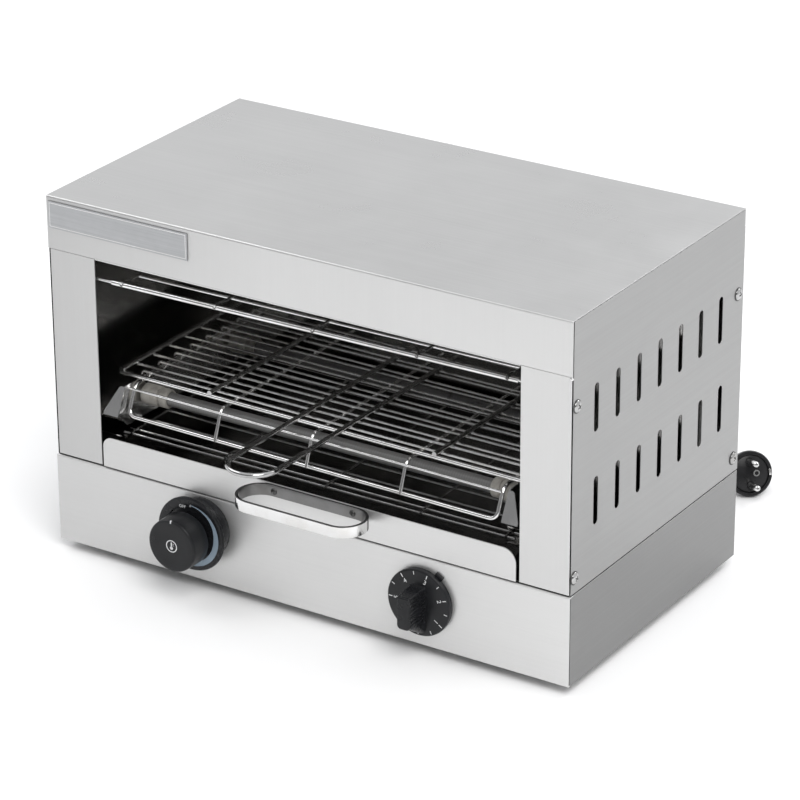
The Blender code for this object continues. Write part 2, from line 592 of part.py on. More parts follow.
# ---------------------------------------------------------------- timer control
timer_ring = bake(face_front(turned("timer_ring", [(6.0, 1.6), (25.4, 1.6), (25.8, 1.2), (25.8, 0.0), (6.0, 0.0), (6.0, 1.6)], 40, BLACK), TIMER_X, -0.8, TIMER_Z))
for index, angle in enumerate((57.0, 237.0)):
    lug = box(f"timer_lug_{index}", (-4.6, -0.7, -3.4), (4.6, 0.7, 3.4), None, cutters)
    c, s_ = math.cos(math.radians(angle)), math.sin(math.radians(angle))
    lug.rotation_euler = (0, math.radians(-angle), 0)
    lug.location = at(TIMER_X + 24.9 * c, -1.6, TIMER_Z + 24.9 * s_)
    timer_ring = bake(boolean(timer_ring, bake(lug), "UNION"))
disc = turned(
    "timer_disc",
    [(0, 3.8), (25.4, 3.8), (26.2, 3.2), (26.4, 2.2), (26.2, 0.0), (3.0, 0.0), (3.0, -12.5), (0, -12.5)],
    44,
    None,
    cutters,
)
disc = bake(face_front(disc, TIMER_X, -2.7, TIMER_Z))
grip_bm = bmesh.new()
bmesh.ops.create_cube(grip_bm, size=1.0)
for v in grip_bm.verts:
    front_end = v.co.y < 0
    top_end = v.co.z > 0
    v.co.x *= 0.0106 if front_end else 0.0130
    if front_end:
        v.co.z = 0.0130 if top_end else -0.0130
    else:
        v.co.z = 0.0137 if top_end else -0.0238
    v.co.y = -0.0270 if front_end else -0.0050
bmesh.ops.bevel(grip_bm, geom=list(grip_bm.edges), offset=0.0014, segments=2, affect="EDGES", profile=0.6)
grip_mesh = bpy.data.meshes.new("timer_grip")
grip_bm.to_mesh(grip_mesh)
grip_bm.free()
grip = add("timer_grip", grip_mesh, None, cutters)
grip.location = at(TIMER_X, 0, TIMER_Z)
knob = in_parts(union_of("timer_knob", [disc, grip], BLACK))
box("timer_body", (TIMER_X - 22, 10.2, TIMER_Z - 22), (TIMER_X + 22, 46.0, TIMER_Z + 22), ZINC)

# ---------------------------------------------------------------- mains lead
gland = turned("cable_gland", [(3.0 + 1.2, 31.0), (5.4, 30.6), (8.0, 7.0), (10.0, 6.4), (10.0, 0.0), (4.2, 0.0), (4.2, 31.0)], 20, RUBBER)
gland.rotation_euler = (math.radians(-90), 0, 0)
gland.location = at(GLAND_X, DEPTH + 0.3, GLAND_Z)

floor = -FOOT_H + CORD_R + 0.1


def ease(t):
    t = min(1.0, max(0.0, t))
    return t * t * (3 - 2 * t)


def laid(route, height):
    """Evenly spaced points on a smooth curve through the route, each at the height for its distance along it."""
    flat = even(catmull([Vector((x, y, 0.0)) for x, y in route], 10), 7.0)
    out, run = [], 0.0
    for i, p in enumerate(flat):
        if i:
            run += (p - flat[i - 1]).length
        out.append((p.x, p.y, height(run)))
    return out


lead_route = [(GLAND_X, DEPTH + 31.6), (GLAND_X, DEPTH + 43.0), (167.6, 313.0), (179.0, 335.0), (198.0, 350.0), (222.0, 357.2), (COIL_X - 27.8, COIL_Y + 47.0)]
tube("mains_lead", laid(lead_route, lambda d: GLAND_Z + (floor - GLAND_Z) * ease((d - 8.0) / 78.0)), CORD_R, 3, RUBBER)

coil = turned(
    "lead_coil",
    [(COIL_IN + 2.4, COIL_H), (COIL_OUT - 2.4, COIL_H), (COIL_OUT - 0.4, COIL_H - 2.2), (COIL_OUT, 4.0), (COIL_OUT - 2, 0.2), (COIL_IN + 2, 0.2), (COIL_IN, 4.0), (COIL_IN + 0.4, COIL_H - 2.2), (COIL_IN + 2.4, COIL_H)],
    36,
    RUBBER,
)
coil.location = at(COIL_X, COIL_Y, -FOOT_H)
coil.data.name = "lead_coil"

# Plug, lying on its rim and tail, pins towards the front right.
PLUG_FACE = (404.4, 362.0, 10.8)
PLUG_AZ = math.radians(45.0)
PLUG_TILT = math.radians(17.5)
plug = turned(
    "plug_body",
    [(0, 0.0), (17.0, 0.0), (18.3, -1.6), (17.6, -6.0), (16.6, -9.0), (13.0, -14.0), (10.5, -22.0), (8.0, -30.0), (6.0, -38.0), (5.4, -39.0), (4.2, -39.0), (4.2, -35.0), (0, -35.0)],
    28,
    BLACK,
)
axis = Vector((math.sin(PLUG_AZ) * math.cos(PLUG_TILT), -math.cos(PLUG_AZ) * math.cos(PLUG_TILT), math.sin(PLUG_TILT)))
plug.rotation_mode = "QUATERNION"
plug.rotation_quaternion = axis.to_track_quat("Z", "Y")
plug.location = at(*PLUG_FACE)
tail = Vector(PLUG_FACE) - axis * 35.4
up = Vector((0, 0, 1))
side_dir = (up - axis * up.dot(axis)).normalized()
plug_solids = [bake(plug)]
for index, sign in ((1, 1), (2, -1)):
    root = Vector(PLUG_FACE) - axis * 0.8 + side_dir * 9.5 * sign
    pin = turned(f"plug_pin_{index}", [(0, 19.8), (1.6, 19.2), (2.4, 17.6), (2.4, 0.0), (0, 0.0)], 12, None, cutters)
    pin.rotation_mode = "QUATERNION"
    pin.rotation_quaternion = axis.to_track_quat("Z", "Y")
    pin.location = at(*root)
    plug_solids.append(bake(pin))
plug = in_parts(union_of("plug", plug_solids, BLACK))

tail = Vector(PLUG_FACE) - axis * 39.4
turn_out = math.radians(130.0)
leave = Vector((COIL_X + 47.0 * math.cos(turn_out), COIL_Y + 47.0 * math.sin(turn_out), 0.0))
way = Vector((math.sin(turn_out), -math.cos(turn_out), 0.0))
start = leave + way * 27.8
tail_route = [(start.x, start.y), (298.5, 381.6), (320.5, 395.6), (332.6, 402.2), (345.6, 404.9), (359.3, 402.6), (371.4, 395.0), (tail.x, tail.y)]
TAIL_RUN = 131.0


def tail_height(d):
    return floor + 7.6 * (1 - ease((d - 4.0) / 66.0)) + (tail.z - floor) * ease((d - TAIL_RUN + 24.0) / 24.0)


tube("plug_lead", laid(tail_route, tail_height), CORD_R, 3, RUBBER)

for helper in list(cutters.objects):
    helper.hide_render = True
    helper.display_type = "WIRE"
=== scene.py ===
"""Looks for the countertop quartz toaster: detailed pieces, procedural materials, light and camera.

Design millimetres as in the part: x from the casing's left edge, y from its front face, z from the base's underside.
"""

import math

import bmesh
import bpy
from mathutils import Matrix, Vector


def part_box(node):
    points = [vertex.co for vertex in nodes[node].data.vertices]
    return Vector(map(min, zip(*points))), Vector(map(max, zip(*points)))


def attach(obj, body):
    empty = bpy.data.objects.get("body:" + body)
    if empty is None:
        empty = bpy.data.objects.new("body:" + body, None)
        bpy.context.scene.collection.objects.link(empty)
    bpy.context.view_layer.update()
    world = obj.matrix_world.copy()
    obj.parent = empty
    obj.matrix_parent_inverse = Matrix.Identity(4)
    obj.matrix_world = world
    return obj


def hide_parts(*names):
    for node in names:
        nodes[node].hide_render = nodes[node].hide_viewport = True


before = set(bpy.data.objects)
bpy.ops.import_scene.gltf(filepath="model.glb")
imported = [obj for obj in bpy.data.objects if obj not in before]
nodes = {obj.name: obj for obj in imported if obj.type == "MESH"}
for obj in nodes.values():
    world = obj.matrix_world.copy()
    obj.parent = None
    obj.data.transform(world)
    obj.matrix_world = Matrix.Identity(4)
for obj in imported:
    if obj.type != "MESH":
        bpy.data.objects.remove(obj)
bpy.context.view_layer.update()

# ---------------------------------------------------------------- the part's own numbers (mm)
WIDTH, DEPTH, HEIGHT = 450.0, 250.0, 282.0
ORIGIN_Y, FOOT_H = 83.75, 8.0
BASE_H, SEAM_Z = 71.3, 72.0
OPEN_X0, OPEN_X1, OPEN_TOP = 42.35, 409.0, 240.0
LINER_X0, LINER_X1, LINER_BACK, LINER_LO, LINER_HI = 16.5, 433.5, 232.0, 94.8, 262.0
WEB_X = 57.3
RACK_Z, RACK_X, RACK_HALF, RACK_FRONT_Y = 143.6, 225.6, 178.4, 22.2
RACK_Y1, RACK_PITCH, RACK_WIRES = 43.5, 20.6, 9
RACK_YAW, THIN_YAW, GUARD_YAW, UPPER_YAW = math.radians(-0.6), math.radians(-0.15), math.radians(-1.0), math.radians(1.0)
LOOP_X, LOOP_R, LOOP_TIP_Y, ROD_R = 227.9, 19.4, -80.4, 2.1
GUARD_Z, GUARD_HALF, UPPER_Z, LOW_Z = 137.95, 163.2, 222.2, 97.1
TUBE_Y, TUBE_Z, CERAMIC_X = (35.0, 150.0), (123.0, 248.0), 82.5
THERMO_X, THERMO_Z, TIMER_X, TIMER_Z = 131.7, 42.85, 328.4, 36.8
CORD_R, COIL_X, COIL_Y = 3.75, 285.0, 311.0
GLAND_X, GLAND_Z = 165.0, 16.0


def V(x, y, z):
    return Vector(((x - WIDTH / 2) / 1000, (y - ORIGIN_Y) / 1000, (z + FOOT_H) / 1000))


# ---------------------------------------------------------------- camera
cam_data = bpy.data.cameras.new("camera")
cam = bpy.data.objects.new("camera", cam_data)
bpy.context.scene.collection.objects.link(cam)
bpy.context.scene.camera = cam
cam_data.lens = 168.984
cam_data.sensor_width = 36.0
cam_data.clip_start, cam_data.clip_end = 0.1, 60.0
right = Vector((0.84157, 0.54012, -0.00507)).normalized()
forward = Vector((-0.49426, 0.76625, -0.41058)).normalized()
up = right.cross(forward).normalized()
right = forward.cross(up).normalized()
cam_place = V(1621.07, -2032.90, 1279.38)
cam.matrix_world = Matrix(
    (
        (right.x, up.x, -forward.x, cam_place.x),
        (right.y, up.y, -forward.y, cam_place.y),
        (right.z, up.z, -forward.z, cam_place.z),
        (0, 0, 0, 1),
    )
)


# ---------------------------------------------------------------- material helpers
def new_material(name, base, rough, metal, specular=None):
    mat = bpy.data.materials.new(name)
    mat.use_nodes = True
    tree = mat.node_tree
    shader = tree.nodes["Principled BSDF"]
    shader.inputs["Base Color"].default_value = (*base, 1)
    shader.inputs["Roughness"].default_value = rough
    shader.inputs["Metallic"].default_value = metal
    if specular is not None:
        shader.inputs["Specular IOR Level"].default_value = specular
    return mat, tree, shader


def coords(tree, scale, kind="Object"):
    tex = tree.nodes.new("ShaderNodeTexCoord")
    mapping = tree.nodes.new("ShaderNodeMapping")
    mapping.inputs["Scale"].default_value = scale
    tree.links.new(tex.outputs[kind], mapping.inputs["Vector"])
    return mapping.outputs["Vector"]


def noise(tree, vector, scale, detail=4.0, rough=0.55, distortion=0.0):
    node = tree.nodes.new("ShaderNodeTexNoise")
    node.inputs["Scale"].default_value = scale
    node.inputs["Detail"].default_value = detail
    node.inputs["Roughness"].default_value = rough
    node.inputs["Distortion"].default_value = distortion
    tree.links.new(vector, node.inputs["Vector"])
    return node.outputs["Fac"]


def ramp(tree, value, stops):
    node = tree.nodes.new("ShaderNodeValToRGB")
    elements = node.color_ramp.elements
    while len(elements) < len(stops):
        elements.new(0.5)
    for element, (pos, col) in zip(elements, stops):
        element.position = pos
        element.color = (*col, 1) if len(col) == 3 else col
    tree.links.new(value, node.inputs["Fac"])
    return node.outputs["Color"]


def remap(tree, value, lo, hi, a=0.0, b=1.0):
    node = tree.nodes.new("ShaderNodeMapRange")
    node.inputs["From Min"].default_value = a
    node.inputs["From Max"].default_value = b
    node.inputs["To Min"].default_value = lo
    node.inputs["To Max"].default_value = hi
    tree.links.new(value, node.inputs["Value"])
    return node.outputs["Result"]


def mix(tree, kind, factor, a, b):
    node = tree.nodes.new("ShaderNodeMix")
    node.data_type = "RGBA"
    node.blend_type = kind
    for socket, value in ((node.inputs["Factor"], factor), (node.inputs["A"], a), (node.inputs["B"], b)):
        if hasattr(value, "links"):
            tree.links.new(value, socket)
        elif isinstance(value, tuple):
            socket.default_value = (*value, 1)
        else:
            socket.default_value = value
    return node.outputs["Result"]


def bump(tree, shader, height, strength, distance):
    node = tree.nodes.new("ShaderNodeBump")
    node.inputs["Strength"].default_value = strength
    node.inputs["Distance"].default_value = distance
    tree.links.new(height, node.inputs["Height"])
    tree.links.new(node.outputs["Normal"], shader.inputs["Normal"])
    return node


def grey(v, tint=(1.0, 1.0, 1.0)):
    return (v * tint[0], v * tint[1], v * tint[2])


def sheet_steel(name, base, rough, grain, streak=0.05, mottle=0.06, tint=(1.0, 1.0, 0.995), left_shade=0.0):
    """Satin stainless sheet: rolling grain along one axis, faint cloudy mottling and handling marks."""
    mat, tree, shader = new_material(name, grey(base, tint), rough, 1.0)
    fine = noise(tree, coords(tree, grain), 1.0, 6.0, 0.7)
    cloud = noise(tree, coords(tree, (1, 1, 1)), 14.0, 3.0, 0.6, 0.4)
    speck = noise(tree, coords(tree, (1, 1, 1)), 420.0, 3.0, 0.7)
    streaks = ramp(tree, fine, ((0.25, grey(base * (1 - streak), tint)), (0.75, grey(base * (1 + streak * 0.7), tint))))
    clouds = ramp(tree, cloud, ((0.3, grey(1 - mottle)), (0.7, grey(1.0))))
    tone = mix(tree, "MULTIPLY", 1.0, streaks, clouds)
    if left_shade:
        # Painted shade: the sheet's colour is darkened towards its left end, standing in for the dimmer light there.
        parts = tree.nodes.new("ShaderNodeSeparateXYZ")
        tree.links.new(coords(tree, (1, 1, 1)), parts.inputs["Vector"])
        along = remap(tree, parts.outputs["X"], 0.0, 1.0, -0.23, -0.02)
        tone = mix(tree, "MULTIPLY", 1.0, tone, ramp(tree, along, ((0.0, grey(1 - left_shade)), (1.0, grey(1.0)))))
    tree.links.new(tone, shader.inputs["Base Color"])
    total = tree.nodes.new("ShaderNodeMath")
    total.operation = "ADD"
    tree.links.new(remap(tree, cloud, rough - 0.05, rough + 0.06, 0.25, 0.75), total.inputs[0])
    tree.links.new(remap(tree, speck, -0.006, 0.008, 0.3, 0.7), total.inputs[1])
    tree.links.new(total.outputs["Value"], shader.inputs["Roughness"])
    height = tree.nodes.new("ShaderNodeMath")
    height.operation = "MULTIPLY_ADD"
    tree.links.new(fine, height.inputs[0])
    height.inputs[1].default_value = 0.6
    tree.links.new(remap(tree, speck, 0.0, 0.12), height.inputs[2])
    bump(tree, shader, height.outputs["Value"], 0.05, 0.00005)
    return mat


def wire_chrome(name, base, rough, spots=0.25):
    mat, tree, shader = new_material(name, grey(base), rough, 1.0)
    cloud = noise(tree, coords(tree, (1, 1, 1)), 55.0, 4.0, 0.6)
    pits = noise(tree, coords(tree, (1, 1, 1)), 600.0, 2.0, 0.6)
    tree.links.new(ramp(tree, cloud, ((0.3, grey(base * (1 - spots), (1.0, 0.985, 0.96))), (0.6, grey(base)))), shader.inputs["Base Color"])
    tree.links.new(remap(tree, cloud, rough + 0.10, rough, 0.3, 0.65), shader.inputs["Roughness"])
    bump(tree, shader, pits, 0.12, 0.00005)
    return mat


def moulded(name, base, rough, grain=900.0, strength=0.18, coat=0.0):
    """Fine-grained black moulding."""
    mat, tree, shader = new_material(name, base, rough, 0.0, 0.28)
    fine = noise(tree, coords(tree, (1, 1, 1)), grain, 3.0, 0.6)
    cloud = noise(tree, coords(tree, (1, 1, 1)), 60.0, 3.0, 0.6)
    tree.links.new(ramp(tree, cloud, ((0.3, tuple(c * 0.8 for c in base)), (0.7, tuple(c * 1.25 for c in base)))), shader.inputs["Base Color"])
    tree.links.new(remap(tree, cloud, rough - 0.05, rough + 0.07, 0.3, 0.7), shader.inputs["Roughness"])
    bump(tree, shader, fine, strength, 0.00008)
    return mat


STEEL_TOP = sheet_steel("steel_top", 0.61, 0.30, (6.0, 520.0, 520.0))
STEEL_FRONT = sheet_steel("steel_front", 0.67, 0.42, (520.0, 6.0, 6.0), 0.015, 0.04, left_shade=0.20)
STEEL_BASE = sheet_steel("steel_base", 0.71, 0.42, (6.0, 520.0, 520.0), 0.02, 0.05, left_shade=0.13)
# Painted shade: the side sheets are darker copies of the casing steel, the base's sides darkest, standing in for the
# dimmer light on the side faces.
STEEL_SIDE_SHADED = sheet_steel("steel_side_painted_shade", 0.365, 0.32, (6.0, 5.0, 480.0), 0.05, 0.08)
STEEL_BASE_SIDE_SHADED = sheet_steel("steel_base_side_painted_shade", 0.27, 0.32, (6.0, 5.0, 480.0), 0.05, 0.10)
for mat_ in (STEEL_FRONT, STEEL_BASE):
    mat_.node_tree.nodes["Principled BSDF"].inputs["Metallic"].default_value = 0.8
STEEL_BACK = sheet_steel("steel_back", 0.62, 0.33, (5.0, 6.0, 480.0), 0.05, 0.08)
STEEL_EDGE = sheet_steel("steel_edge", 0.80, 0.22, (200.0, 200.0, 200.0), 0.03, 0.03)
LINER = sheet_steel("liner_polished", 0.56, 0.16, (5.0, 5.0, 420.0), 0.08, 0.2, (1.0, 0.985, 0.96))
FLOOR_SHEET = sheet_steel("chamber_floor_sheet", 0.28, 0.16, (5.0, 420.0, 5.0), 0.10, 0.3, (1.0, 0.98, 0.95))
PAN = sheet_steel("tray_pan_sheet", 0.22, 0.20, (5.0, 420.0, 5.0), 0.08, 0.3, (1.0, 0.98, 0.95))
BRACKET = sheet_steel("holder_sheet", 0.90, 0.24, (300.0, 300.0, 8.0), 0.05, 0.10)
# Lit and shaded copies of one chrome wire: the bright copy is painted lighter for the cross and guard wires, the darker
# copy carries painted shade for the long rods and bars.
CHROME = wire_chrome("chrome_wire_painted_lit", 0.86, 0.15)
CHROME_SHADED = wire_chrome("chrome_wire_painted_shade", 0.46, 0.11, 0.30)
STRAP = wire_chrome("chrome_strap", 0.78, 0.10, 0.12)
STRAP_INNER = wire_chrome("chrome_strap_shaded", 0.20, 0.30, 0.15)
SCREW_DARK = wire_chrome("rivet_dark", 0.10, 0.30, 0.15)
SCREW_MAT = wire_chrome("screw_nickel", 0.50, 0.12, 0.2)
BLACK = moulded("thermoset_black", (0.010, 0.0105, 0.012), 0.26)
BLACK_FACE = moulded("thermoset_black_face", (0.010, 0.0105, 0.012), 0.32, 700.0, 0.10)
RUBBER = moulded("lead_rubber", (0.014, 0.014, 0.014), 0.55, 500.0, 0.25)
FOOT_RUBBER = moulded("foot_rubber", (0.030, 0.030, 0.030), 0.75, 350.0, 0.35)
PLUG_BLACK = moulded("plug_moulding", (0.011, 0.011, 0.012), 0.30, 500.0, 0.20)
ZINC = wire_chrome("zinc_plate", 0.42, 0.34, 0.3)
PIN_METAL = wire_chrome("pin_nickel", 0.78, 0.16, 0.1)


def print_ink(name, base):
    mat, tree, shader = new_material(name, base, 0.5, 0.0, 0.4)
    worn = noise(tree, coords(tree, (1, 1, 1)), 1500.0, 3.0, 0.7)
    tree.links.new(ramp(tree, worn, ((0.25, tuple(c * 0.72 for c in base)), (0.6, base))), shader.inputs["Base Color"])
    return mat


INK = print_ink("dial_print_white", (0.78, 0.79, 0.80))
INK_BLUE = print_ink("ring_print_blue_grey", (0.26, 0.33, 0.40))


def ceramic_material():
    mat, tree, shader = new_material("steatite_ceramic", (0.36, 0.34, 0.31), 0.62, 0.0, 0.35)
    cloud = noise(tree, coords(tree, (1, 1, 1)), 120.0, 5.0, 0.65)
    grit = noise(tree, coords(tree, (1, 1, 1)), 1600.0, 2.0, 0.6)
    tree.links.new(ramp(tree, cloud, ((0.25, (0.22, 0.21, 0.19)), (0.6, (0.38, 0.365, 0.335)), (0.9, (0.44, 0.425, 0.395)))), shader.inputs["Base Color"])
    bump(tree, shader, grit, 0.3, 0.0001)
    return mat


def quartz_material():
    """Milky quartz glass: the coiled wire inside shows through as soft bands."""
    mat, tree, shader = new_material("milky_quartz", (0.30, 0.30, 0.295), 0.30, 0.0, 0.6)
    shader.inputs["Coat Weight"].default_value = 0.35
    shader.inputs["Coat Roughness"].default_value = 0.12
    wave = tree.nodes.new("ShaderNodeTexWave")
    wave.wave_type = "BANDS"
    wave.bands_direction = "X"
    wave.inputs["Scale"].default_value = 150.0
    wave.inputs["Distortion"].default_value = 0.6
    wave.inputs["Detail"].default_value = 1.0
    tree.links.new(coords(tree, (1, 0.2, 0.2)), wave.inputs["Vector"])
    cloud = noise(tree, coords(tree, (0.4, 1, 1)), 40.0, 4.0, 0.6)
    bands = ramp(tree, wave.outputs["Fac"], ((0.2, (0.150, 0.150, 0.147)), (0.8, (0.178, 0.178, 0.174))))
    tree.links.new(mix(tree, "MULTIPLY", 0.6, bands, ramp(tree, cloud, ((0.3, grey(0.65)), (0.7, grey(1.0))))), shader.inputs["Base Color"])
    tree.links.new(remap(tree, cloud, 0.24, 0.38, 0.3, 0.7), shader.inputs["Roughness"])
    return mat


CERAMIC = ceramic_material()
QUARTZ = quartz_material()


def badge_material():
    """Blank etched label plate with fine cross brushing."""
    mat, tree, shader = new_material("label_plate", (0.48, 0.49, 0.50), 0.38, 1.0)
    fine = noise(tree, coords(tree, (8.0, 8.0, 700.0)), 1.0, 5.0, 0.7)
    cloud = noise(tree, coords(tree, (1, 1, 1)), 60.0, 3.0, 0.6)
    tree.links.new(mix(tree, "MULTIPLY", 1.0, ramp(tree, fine, ((0.3, (0.40, 0.407, 0.417)), (0.7, (0.48, 0.487, 0.497)))), ramp(tree, cloud, ((0.3, grey(0.88)), (0.7, grey(1.0))))), shader.inputs["Base Color"])
    tree.links.new(remap(tree, cloud, 0.32, 0.44, 0.3, 0.7), shader.inputs["Roughness"])
    bump(tree, shader, fine, 0.12, 0.00005)
    return mat


LABEL = badge_material()
LABEL_EDGE = wire_chrome("label_edge", 0.72, 0.25, 0.1)


# ---------------------------------------------------------------- shape helpers
def put(obj, body, *replaced, slot=None):
    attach(obj, body)
    if replaced:
        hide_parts(*replaced)
    return obj


def link(name, data, mat):
    obj = bpy.data.objects.new(name, data)
    bpy.context.scene.collection.objects.link(obj)
    if mat is not None:
        data.materials.append(mat)
    return obj


def shade(obj, angle=35):
    obj.data.shade_smooth()
    obj.data.set_sharp_from_angle(angle=math.radians(angle))
    return obj


def from_bm(name, bm, mat, angle=35):
    mesh = bpy.data.meshes.new(name)
    bm.normal_update()
    bm.to_mesh(mesh)
    bm.free()
    return shade(link(name, mesh, mat), angle)


def wire_curve(name, runs, radius, mat, resolution=5, origin=None):
    """One curve object holding round wires, each a list of design points, all of the same radius."""
    data = bpy.data.curves.new(name, "CURVE")
    data.dimensions = "3D"
    data.bevel_depth = radius / 1000
    data.bevel_resolution = resolution
    data.use_fill_caps = True
    data.resolution_u = 1
    for run in runs:
        spline = data.splines.new("POLY")
        spline.points.add(len(run) - 1)
        for slot_, p in zip(spline.points, run):
            slot_.co = (*p, 1.0)
        spline.use_smooth = True
    return link(name, data, mat)


def filleted(points, radius, n=5):
    """Design polyline with its inner corners rounded."""
    pts = [Vector(p) for p in points]
    out = [pts[0]]
    for a, b, c in zip(pts, pts[1:], pts[2:]):
        u, w = (a - b), (c - b)
        cut = min(radius, u.length * 0.48, w.length * 0.48)
        p0, p1 = b + u.normalized() * cut, b + w.normalized() * cut
        for i in range(n + 1):
            t = i / n
            out.append(p0 * (1 - t) ** 2 + b * (2 * t * (1 - t)) + p1 * t ** 2)
    out.append(pts[-1])
    return out


def yawed(points, cx, angle, cy=110.0):
    c, s = math.cos(angle), math.sin(angle)
    return [V(cx + (p[0] - cx) * c - (p[1] - cy) * s, cy + (p[0] - cx) * s + (p[1] - cy) * c, p[2]) for p in points]


def arc(cx, cy, r, a0, a1, n):
    return [(cx + r * math.cos(math.radians(a0 + (a1 - a0) * i / n)), cy + r * math.sin(math.radians(a0 + (a1 - a0) * i / n))) for i in range(n + 1)]


def stadium(cx, cy, half_len, r, n=10, vertical=True):
    if vertical:
        return arc(cx, cy + half_len - r, r, 0, 180, n) + arc(cx, cy - half_len + r, r, 180, 360, n)
    return arc(cx + half_len - r, cy, r, -90, 90, n) + arc(cx - half_len + r, cy, r, 90, 270, n)


PLANES = {"XY": (0, 0, 0), "XZ": (math.radians(90), 0, 0), "YZ": (math.radians(90), 0, math.radians(90))}


def sheet_plate(name, outlines, thickness, plane, centre, mat, edge=0.0, res=1):
    """Flat sheet from outlines with slightly broken edges. Outlines are given at their full size."""
    data = bpy.data.curves.new(name, "CURVE")
    data.dimensions = "2D"
    data.fill_mode = "BOTH"
    data.extrude = (thickness / 2 - edge) / 1000
    data.bevel_depth = edge / 1000
    data.bevel_resolution = res
    data.resolution_u = 1
    if edge > 0:
        data.offset = -edge / 1000
    for outline in outlines:
        spline = data.splines.new("POLY")
        spline.points.add(len(outline) - 1)
        for slot_, p in zip(spline.points, outline):
            slot_.co = (p[0] / 1000, p[1] / 1000, 0.0, 1.0)
        spline.use_cyclic_u = True
    obj = link(name, data, mat)
    obj.rotation_euler = PLANES[plane]
    obj.location = V(*centre)
    bpy.context.view_layer.update()
    graph = bpy.context.evaluated_depsgraph_get()
    mesh = bpy.data.meshes.new_from_object(obj.evaluated_get(graph))
    world = obj.matrix_world.copy()
    bpy.data.objects.remove(obj, do_unlink=True)
    mesh.transform(world)
    if not mesh.materials:
        mesh.materials.append(mat)
    made = bpy.data.objects.new(name, mesh)
    bpy.context.scene.collection.objects.link(made)
    return shade(made, 30)


def turned(name, profile, steps, mat, matrix, angle=35):
    """Body of revolution about local Z from (radius, height) points."""
    bm = bmesh.new()
    rings = []
    for r, h in profile:
        if r < 1e-6:
            rings.append([bm.verts.new((0, 0, h / 1000))])
        else:
            rings.append([bm.verts.new((r / 1000 * math.cos(2 * math.pi * i / steps), r / 1000 * math.sin(2 * math.pi * i / steps), h / 1000)) for i in range(steps)])
    for a, b in zip(rings, rings[1:]):
        for i in range(steps):
            j = (i + 1) % steps
            if len(a) == 1 and len(b) == 1:
                continue
            if len(a) == 1:
                bm.faces.new((a[0], b[i], b[j]))
            elif len(b) == 1:
                bm.faces.new((a[i], b[0], a[j]))
            else:
                bm.faces.new((a[i], b[i], b[j], a[j]))
    bmesh.ops.recalc_face_normals(bm, faces=bm.faces)
    bm.transform(matrix)
    return from_bm(name, bm, mat, angle)


def frontwards(x, y, z):
    """Local Z points to the front (-Y), local X to the right and local Y up."""
    return Matrix.Translation(V(x, y, z)) @ Matrix.Rotation(math.radians(90), 4, "X")


def join(name, objs):
    """Meshes put in one object, keeping their materials."""
    mats = []
    bm = bmesh.new()
    for obj in objs:
        bpy.context.view_layer.update()
        mesh = obj.data.copy() if obj.type == "MESH" else bpy.data.meshes.new_from_object(obj.evaluated_get(bpy.context.evaluated_depsgraph_get()))
        mesh.transform(obj.matrix_world)
        keep = []
        for m in (obj.data.materials if len(obj.data.materials) else [None]):
            if m not in mats:
                mats.append(m)
            keep.append(mats.index(m))
        first = len(bm.faces)
        bm.from_mesh(mesh)
        bm.faces.ensure_lookup_table()
        for f in bm.faces[first:]:
            f.material_index = keep[min(f.material_index, len(keep) - 1)]
        bpy.data.objects.remove(obj, do_unlink=True)
    made = bpy.data.meshes.new(name)
    bm.to_mesh(made)
    bm.free()
    for m in mats:
        made.materials.append(m)
    out = bpy.data.objects.new(name, made)
    bpy.context.scene.collection.objects.link(out)
    return out


def block(name, lo, hi, mat, edge=0.3):
    bm = bmesh.new()
    bmesh.ops.create_cube(bm, size=1.0)
    a, b = V(*lo), V(*hi)
    for v in bm.verts:
        v.co = Vector([a[i] if v.co[i] < 0 else b[i] for i in range(3)])
    if edge:
        bmesh.ops.bevel(bm, geom=list(bm.edges), offset=edge / 1000, segments=2, affect="EDGES", profile=0.6)
    return from_bm(name, bm, mat)


# ---------------------------------------------------------------- mains lead
def ease(t):
    t = min(1.0, max(0.0, t))
    return t * t * (3 - 2 * t)


def catmull(points, per):
    out = []
    ext = [points[0] * 2 - points[1]] + list(points) + [points[-1] * 2 - points[-2]]
    for i in range(1, len(ext) - 2):
        p0, p1, p2, p3 = ext[i - 1], ext[i], ext[i + 1], ext[i + 2]
        for k in range(per):
            t = k / per
            out.append(0.5 * ((2 * p1) + (p2 - p0) * t + (2 * p0 - 5 * p1 + 4 * p2 - p3) * t * t + (3 * p1 - p0 - 3 * p2 + p3) * t ** 3))
    out.append(points[-1].copy())
    return out


def even(points, step):
    lengths = [0.0]
    for a, b in zip(points, points[1:]):
        lengths.append(lengths[-1] + (b - a).length)
    count = max(2, round(lengths[-1] / step))
    out, j = [], 0
    for i in range(count + 1):
        target = lengths[-1] * i / count
        while j < len(points) - 2 and lengths[j + 1] < target:
            j += 1
        span = lengths[j + 1] - lengths[j]
        t = 0 if span == 0 else (target - lengths[j]) / span
        out.append(points[j].lerp(points[j + 1], min(1.0, t)))
    return out


def laid(route, height, step=4.0):
    flat = even(catmull([Vector((x, y, 0.0)) for x, y in route], 10), step)
    out, run = [], 0.0
    for i, p in enumerate(flat):
        if i:
            run += (p - flat[i - 1]).length
        out.append(Vector((p.x, p.y, height(run))))
    return out


floor_z = -FOOT_H + CORD_R + 0.1
LAYER = 7.75
R_COLS = (47.0, 39.0, 31.0)
lead_route = [(GLAND_X, DEPTH + 31.6), (GLAND_X, DEPTH + 43.0), (167.6, 313.0), (179.0, 335.0), (198.0, 350.0), (222.0, 357.2), (COIL_X - 27.8, COIL_Y + 47.0)]
first = laid(lead_route, lambda d: GLAND_Z + (floor_z - GLAND_Z) * ease((d - 8.0) / 78.0))
TURNS = 5.0 - 40.0 / 360.0


